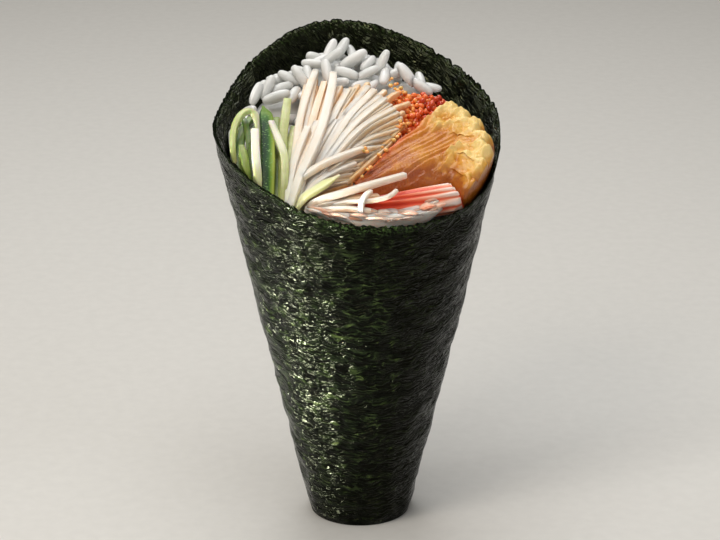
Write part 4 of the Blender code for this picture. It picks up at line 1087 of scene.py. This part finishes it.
skin(bm, MOUND_COLUMNS, MOUND_TOP_RINGS + MOUND_SIDE_RINGS, place_on_mound)
draw = random.Random(31)
for layer in range(2):
    for x, y in scatter(ROE_WIDTH * (0.80 + 0.4 * layer), ROE_AREA, draw):
        dx, dy = x - ROE_MIDDLE[0], y - ROE_MIDDLE[1]
        share = math.hypot(dx, dy) / roe_edge(math.degrees(math.atan2(dy, dx)))
        if share > 0.98 - 0.12 * layer:
            continue
        width = ROE_WIDTH * draw.uniform(0.62, 1.05) * (1.0 + 0.16 * smooth_step((x - 9.0) / 8.0))
        turn = Euler((draw.uniform(0, 3), draw.uniform(0, 3), 0)).to_matrix()
        # Beads further right are painted a deeper, darker red as shade, around a random spread.
        shade = min(1.0, max(0.0, 0.35 + (x - 8.0) / 17.0 + draw.uniform(-0.25, 0.25)))
        place = at(x, y, -0.9 + 0.85 * layer - ROE_SAG * share**3)
        add_seed(bm, place, turn, width, width * 0.96, width, BEAD_COLUMNS, BEAD_RINGS, shade)
for x, y, lift, spread, eggs in STRAY_ROE:
    for egg in range(eggs):
        width = ROE_WIDTH * draw.uniform(*STRAY_SHARES)
        place = at(x + draw.gauss(0.0, spread), y + draw.gauss(0.0, spread), lift + draw.uniform(-0.3, 0.3))
        add_seed(bm, place, Euler().to_matrix(), width, width, width, BEAD_COLUMNS, BEAD_RINGS, draw.uniform(0.0, 0.4))
keep_in_wrap(bm.verts)

# Salted roe: clear orange beads with bright pin lights, redder and darker to the right, a painted shade where they lie
# deeper. The oil in them turns paler and deeper over 1.4 mm, about one bead.
roe, roe_shader = new_material("salted_roe", {
    "IOR": 1.37, "Roughness": 0.08, "Subsurface Weight": 0.55, "Subsurface Scale": 0.0012,
    "Subsurface Radius": (1.0, 0.45, 0.15), "Coat Weight": 0.6, "Coat Roughness": 0.05})
roe_shade = add_node(roe, "Attribute", attribute_name="shade").outputs["Fac"]
roe_place = add_node(roe, "TexCoord").outputs["Object"]
roe_oil = add_node(roe, "TexNoise", {"Vector": roe_place, "Scale": 700.0, "Detail": 1.0})
roe_mix = add_node(roe, "MapRange", {"Value": roe_oil, "To Min": -0.2, "To Max": 0.2})
roe_mix = add_node(roe, "Math", {0: roe_shade, 1: roe_mix}, operation="ADD")
roe_colour = add_node(roe, "ValToRGB", {"Fac": roe_mix}, stops=[
    (0.0, "ffc478"), (0.35, "ffa458"), (0.65, "f07438"), (1.0, "b22c14")])
roe_skin = add_node(roe, "Bump", {"Height": roe_oil, "Strength": 0.15, "Distance": 0.0001})
set_inputs(roe_shader, {"Base Color": roe_colour, "Normal": roe_skin})
roe_beads = finish_piece(bm, "roe_beads", [roe], "roe")

# The rice: boiled short grain rice, sticky and slightly see-through. It is packed down the cone, and loose grains
# stand up on the bank behind the toppings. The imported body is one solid, with true grains over all that shows.
RICE_COLUMNS = 72
RICE_TOP_RINGS = 20
RICE_SIDE_RINGS = 4
GRAIN_LENGTH = 6.4
GRAIN_WIDTH = 2.8
GRAIN_HEIGHT = 2.4
GRAIN_SPACING = 2.7
GRAIN_PLUMPNESS = 1.08
GRAIN_COLUMNS = 7
GRAIN_RINGS = 6
GRAIN_AREA = (-35.0, 35.0, -30.0, 36.0)
GRAIN_WALL_GAP = 3.4
UPRIGHT_CLEARANCE = 2.4
LEFT_SINK = 4.0
COVER_REACH = 1.6
UPRIGHT_GRAINS = (
    # x, y and lift of each middle, then bearing, rise, length and width: the grains that stand out on the bank.
    (-7.2, 27.4, 0.2, 60, 40, 6.6, 2.7), (-4.5, 27.8, 0.4, 52, 42, 6.7, 2.9), (-6.9, 22.6, 1.6, 12, 36, 7.2, 2.9),
    (-11.2, 21.0, 0.8, 175, 4, 6.0, 2.6), (-1.7, 22.2, 1.7, 12, 31, 8.2, 3.4), (1.9, 22.6, 0.8, 60, 15, 6.4, 2.9),
    (5.2, 22.6, 1.3, 35, 58, 7.0, 3.0), (-16.8, 15.8, 0.4, 165, 24, 6.2, 2.7), (-14.0, 15.2, 1.1, 150, 50, 7.2, 3.0),
    (-24.4, 9.6, 0.2, 60, 46, 6.4, 2.7), (-21.7, 11.6, 0.5, 52, 50, 6.8, 2.9), (-19.6, 8.4, 0.6, 12, 16, 7.2, 3.1),
    (-18.5, 13.4, -0.6, 30, 10, 6.4, 2.8), (-7.9, 17.4, 1.6, 105, 48, 6.6, 3.1), (8.6, 20.8, 0.2, 20, 20, 6.6, 2.9),
    (11.2, 19.8, 0.6, 145, 44, 7.2, 3.1), (14.6, 17.8, -0.6, 152, 26, 6.8, 2.9), (5.9, 19.2, 0.3, 80, 20, 6.6, 2.8),
    (-12.4, 17.6, 0.2, 100, 30, 6.4, 2.8), (-10.0, 23.4, -0.2, 30, 20, 6.4, 2.8), (1.8, 19.0, 0.9, 20, 22, 6.6, 2.9),
    (-3.2, 18.4, 0.9, 160, 12, 6.4, 2.9), (-15.6, 10.4, 0.0, 70, 20, 6.6, 2.8),
)

covers = []
for node in ("cucumber_strips", "white_shreds", "crab_tempura", "crab_stick", "crab_flakes", "roe"):
    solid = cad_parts[node].data
    places = [vert.co for vert in solid.vertices]
    covers.append(BVHTree.FromPolygons(places, [face.vertices for face in solid.polygons]))


def covered(x, y):
    """Whether a place in the mouth lies well under the toppings, where no grain would show."""
    under = 0
    for dx, dy in ((COVER_REACH, 0.0), (-COVER_REACH, 0.0), (0.0, COVER_REACH), (0.0, -COVER_REACH)):
        start = at(x + dx, y + dy, -9.0) * MILLIMETRE
        under += any(tree.ray_cast(start, Vector((0, 0, 1)))[0] is not None for tree in covers)
    return under == 4


def left_sink(x, y):
    """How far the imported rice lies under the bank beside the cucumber, where bare seaweed shows."""
    return LEFT_SINK * smooth_step((-24.0 - x) / 4.0) * smooth_step((8.0 - y) / 5.0)


bm = seed_bmesh()
shade_layer = bm.verts.layers.float["shade"]


def place_on_rice(ring, column, vert):
    bearing = 360.0 * column / RICE_COLUMNS
    vert[shade_layer] = 0.2
    x, y = toward((0, 0), bearing, room_at_lift(bearing, BANK_LIFT))
    lift = bank_lift(x, y) - 0.5 - left_sink(x, y)
    wall = room_at_lift(bearing, lift)
    if ring <= RICE_TOP_RINGS:
        x, y = toward((0, 0), bearing, wall * ring / RICE_TOP_RINGS)
        dimple = 0.5 * rough(x / 2.0, y / 2.0, 0.0)
        return at(x, y, bank_lift(x, y) - 1.2 - left_sink(x, y) + dimple)
    share = (ring - RICE_TOP_RINGS) / RICE_SIDE_RINGS
    bottom = WRAP_FLOOR + BED_GAP
    if share > 1.0:
        return Vector((0, 0, bottom))
    brim = at(*toward((0, 0), bearing, wall), lift).z
    z = brim + (bottom - brim) * share
    return Vector((*toward((0, 0), bearing, room(z)), z))


skin(bm, RICE_COLUMNS, RICE_TOP_RINGS + RICE_SIDE_RINGS, place_on_rice)
draw = random.Random(47)
grains = [(at(*grain[:3]), *grain[3:]) for grain in UPRIGHT_GRAINS]
for x, y in scatter(GRAIN_SPACING, GRAIN_AREA, draw):
    lift = bank_lift(x, y)
    wall_gap = room_at_lift(math.degrees(math.atan2(y, x)), lift) - math.hypot(x, y)
    if wall_gap < GRAIN_WALL_GAP or past_crest(x, y) > 0.6 or covered(x, y):
        continue
    if any((at(x, y, 0.0) - grain[0]).xy.length < UPRIGHT_CLEARANCE for grain in grains[:len(UPRIGHT_GRAINS)]):
        continue
    lift -= left_sink(x, y)
    raised = max(0.0, (lift - BED_LIFT) / (BANK_LIFT - BED_LIFT))
    centre = at(x, y, lift + draw.uniform(0.3, 0.9))
    bearing, rise = draw.uniform(0.0, 180.0), draw.gauss(0.0, 8.0 + 12.0 * raised)
    length, width = GRAIN_LENGTH * draw.uniform(0.88, 1.08), GRAIN_WIDTH * draw.uniform(0.92, 1.06)
    grains.append((centre, bearing, rise, length, width))
for centre, bearing, rise, length, width in grains:
    turn = Euler((draw.uniform(0.0, 3.1), math.radians(-rise), math.radians(bearing)), "XYZ").to_matrix()
    width *= GRAIN_PLUMPNESS
    add_seed(bm, centre, turn, length, width, width * GRAIN_HEIGHT / GRAIN_WIDTH, GRAIN_COLUMNS, GRAIN_RINGS,
             draw.uniform(0.2, 0.9), blunt=0.62)
keep_in_wrap(bm.verts)

# Boiled rice: milky, slightly see-through starch with a wet sheen. Each grain has its own shade, and the starch is
# whiter or clearer in patches 2.4 mm across.
rice, rice_shader = new_material("boiled_rice", {
    "IOR": 1.38, "Subsurface Weight": 0.85, "Subsurface Scale": 0.0016, "Subsurface Radius": (1.0, 1.0, 1.0),
    "Transmission Weight": 0.15, "Coat Weight": 0.45, "Coat Roughness": 0.12})
rice_shade = add_node(rice, "Attribute", attribute_name="shade").outputs["Fac"]
rice_place = add_node(rice, "TexCoord").outputs["Object"]
starch = add_node(rice, "TexNoise", {"Vector": rice_place, "Scale": 420.0, "Detail": 3.0})
rice_mix = add_node(rice, "MapRange", {"Value": starch, "To Min": -0.35, "To Max": 0.35})
rice_mix = add_node(rice, "Math", {0: rice_shade, 1: rice_mix}, operation="ADD")
rice_colour = add_node(rice, "ValToRGB", {"Fac": rice_mix}, stops=[
    (0.0, "d2d3d0"), (0.5, "e8e9e6"), (1.0, "f8f7f3")])
rice_gloss = add_node(rice, "MapRange", {"Value": starch, "To Min": 0.25, "To Max": 0.45})
rice_skin = add_node(rice, "Bump", {"Height": starch, "Strength": 0.25, "Distance": 0.0003})
set_inputs(rice_shader, {"Base Color": rice_colour, "Roughness": rice_gloss, "Normal": rice_skin})
rice_piece = finish_piece(bm, "rice_grains", [rice], "rice_heap")
for seeds in (rice_piece, roe_beads):
    smooth = seeds.modifiers.new("round", "SUBSURF")
    smooth.levels = 1
    smooth.render_levels = 1
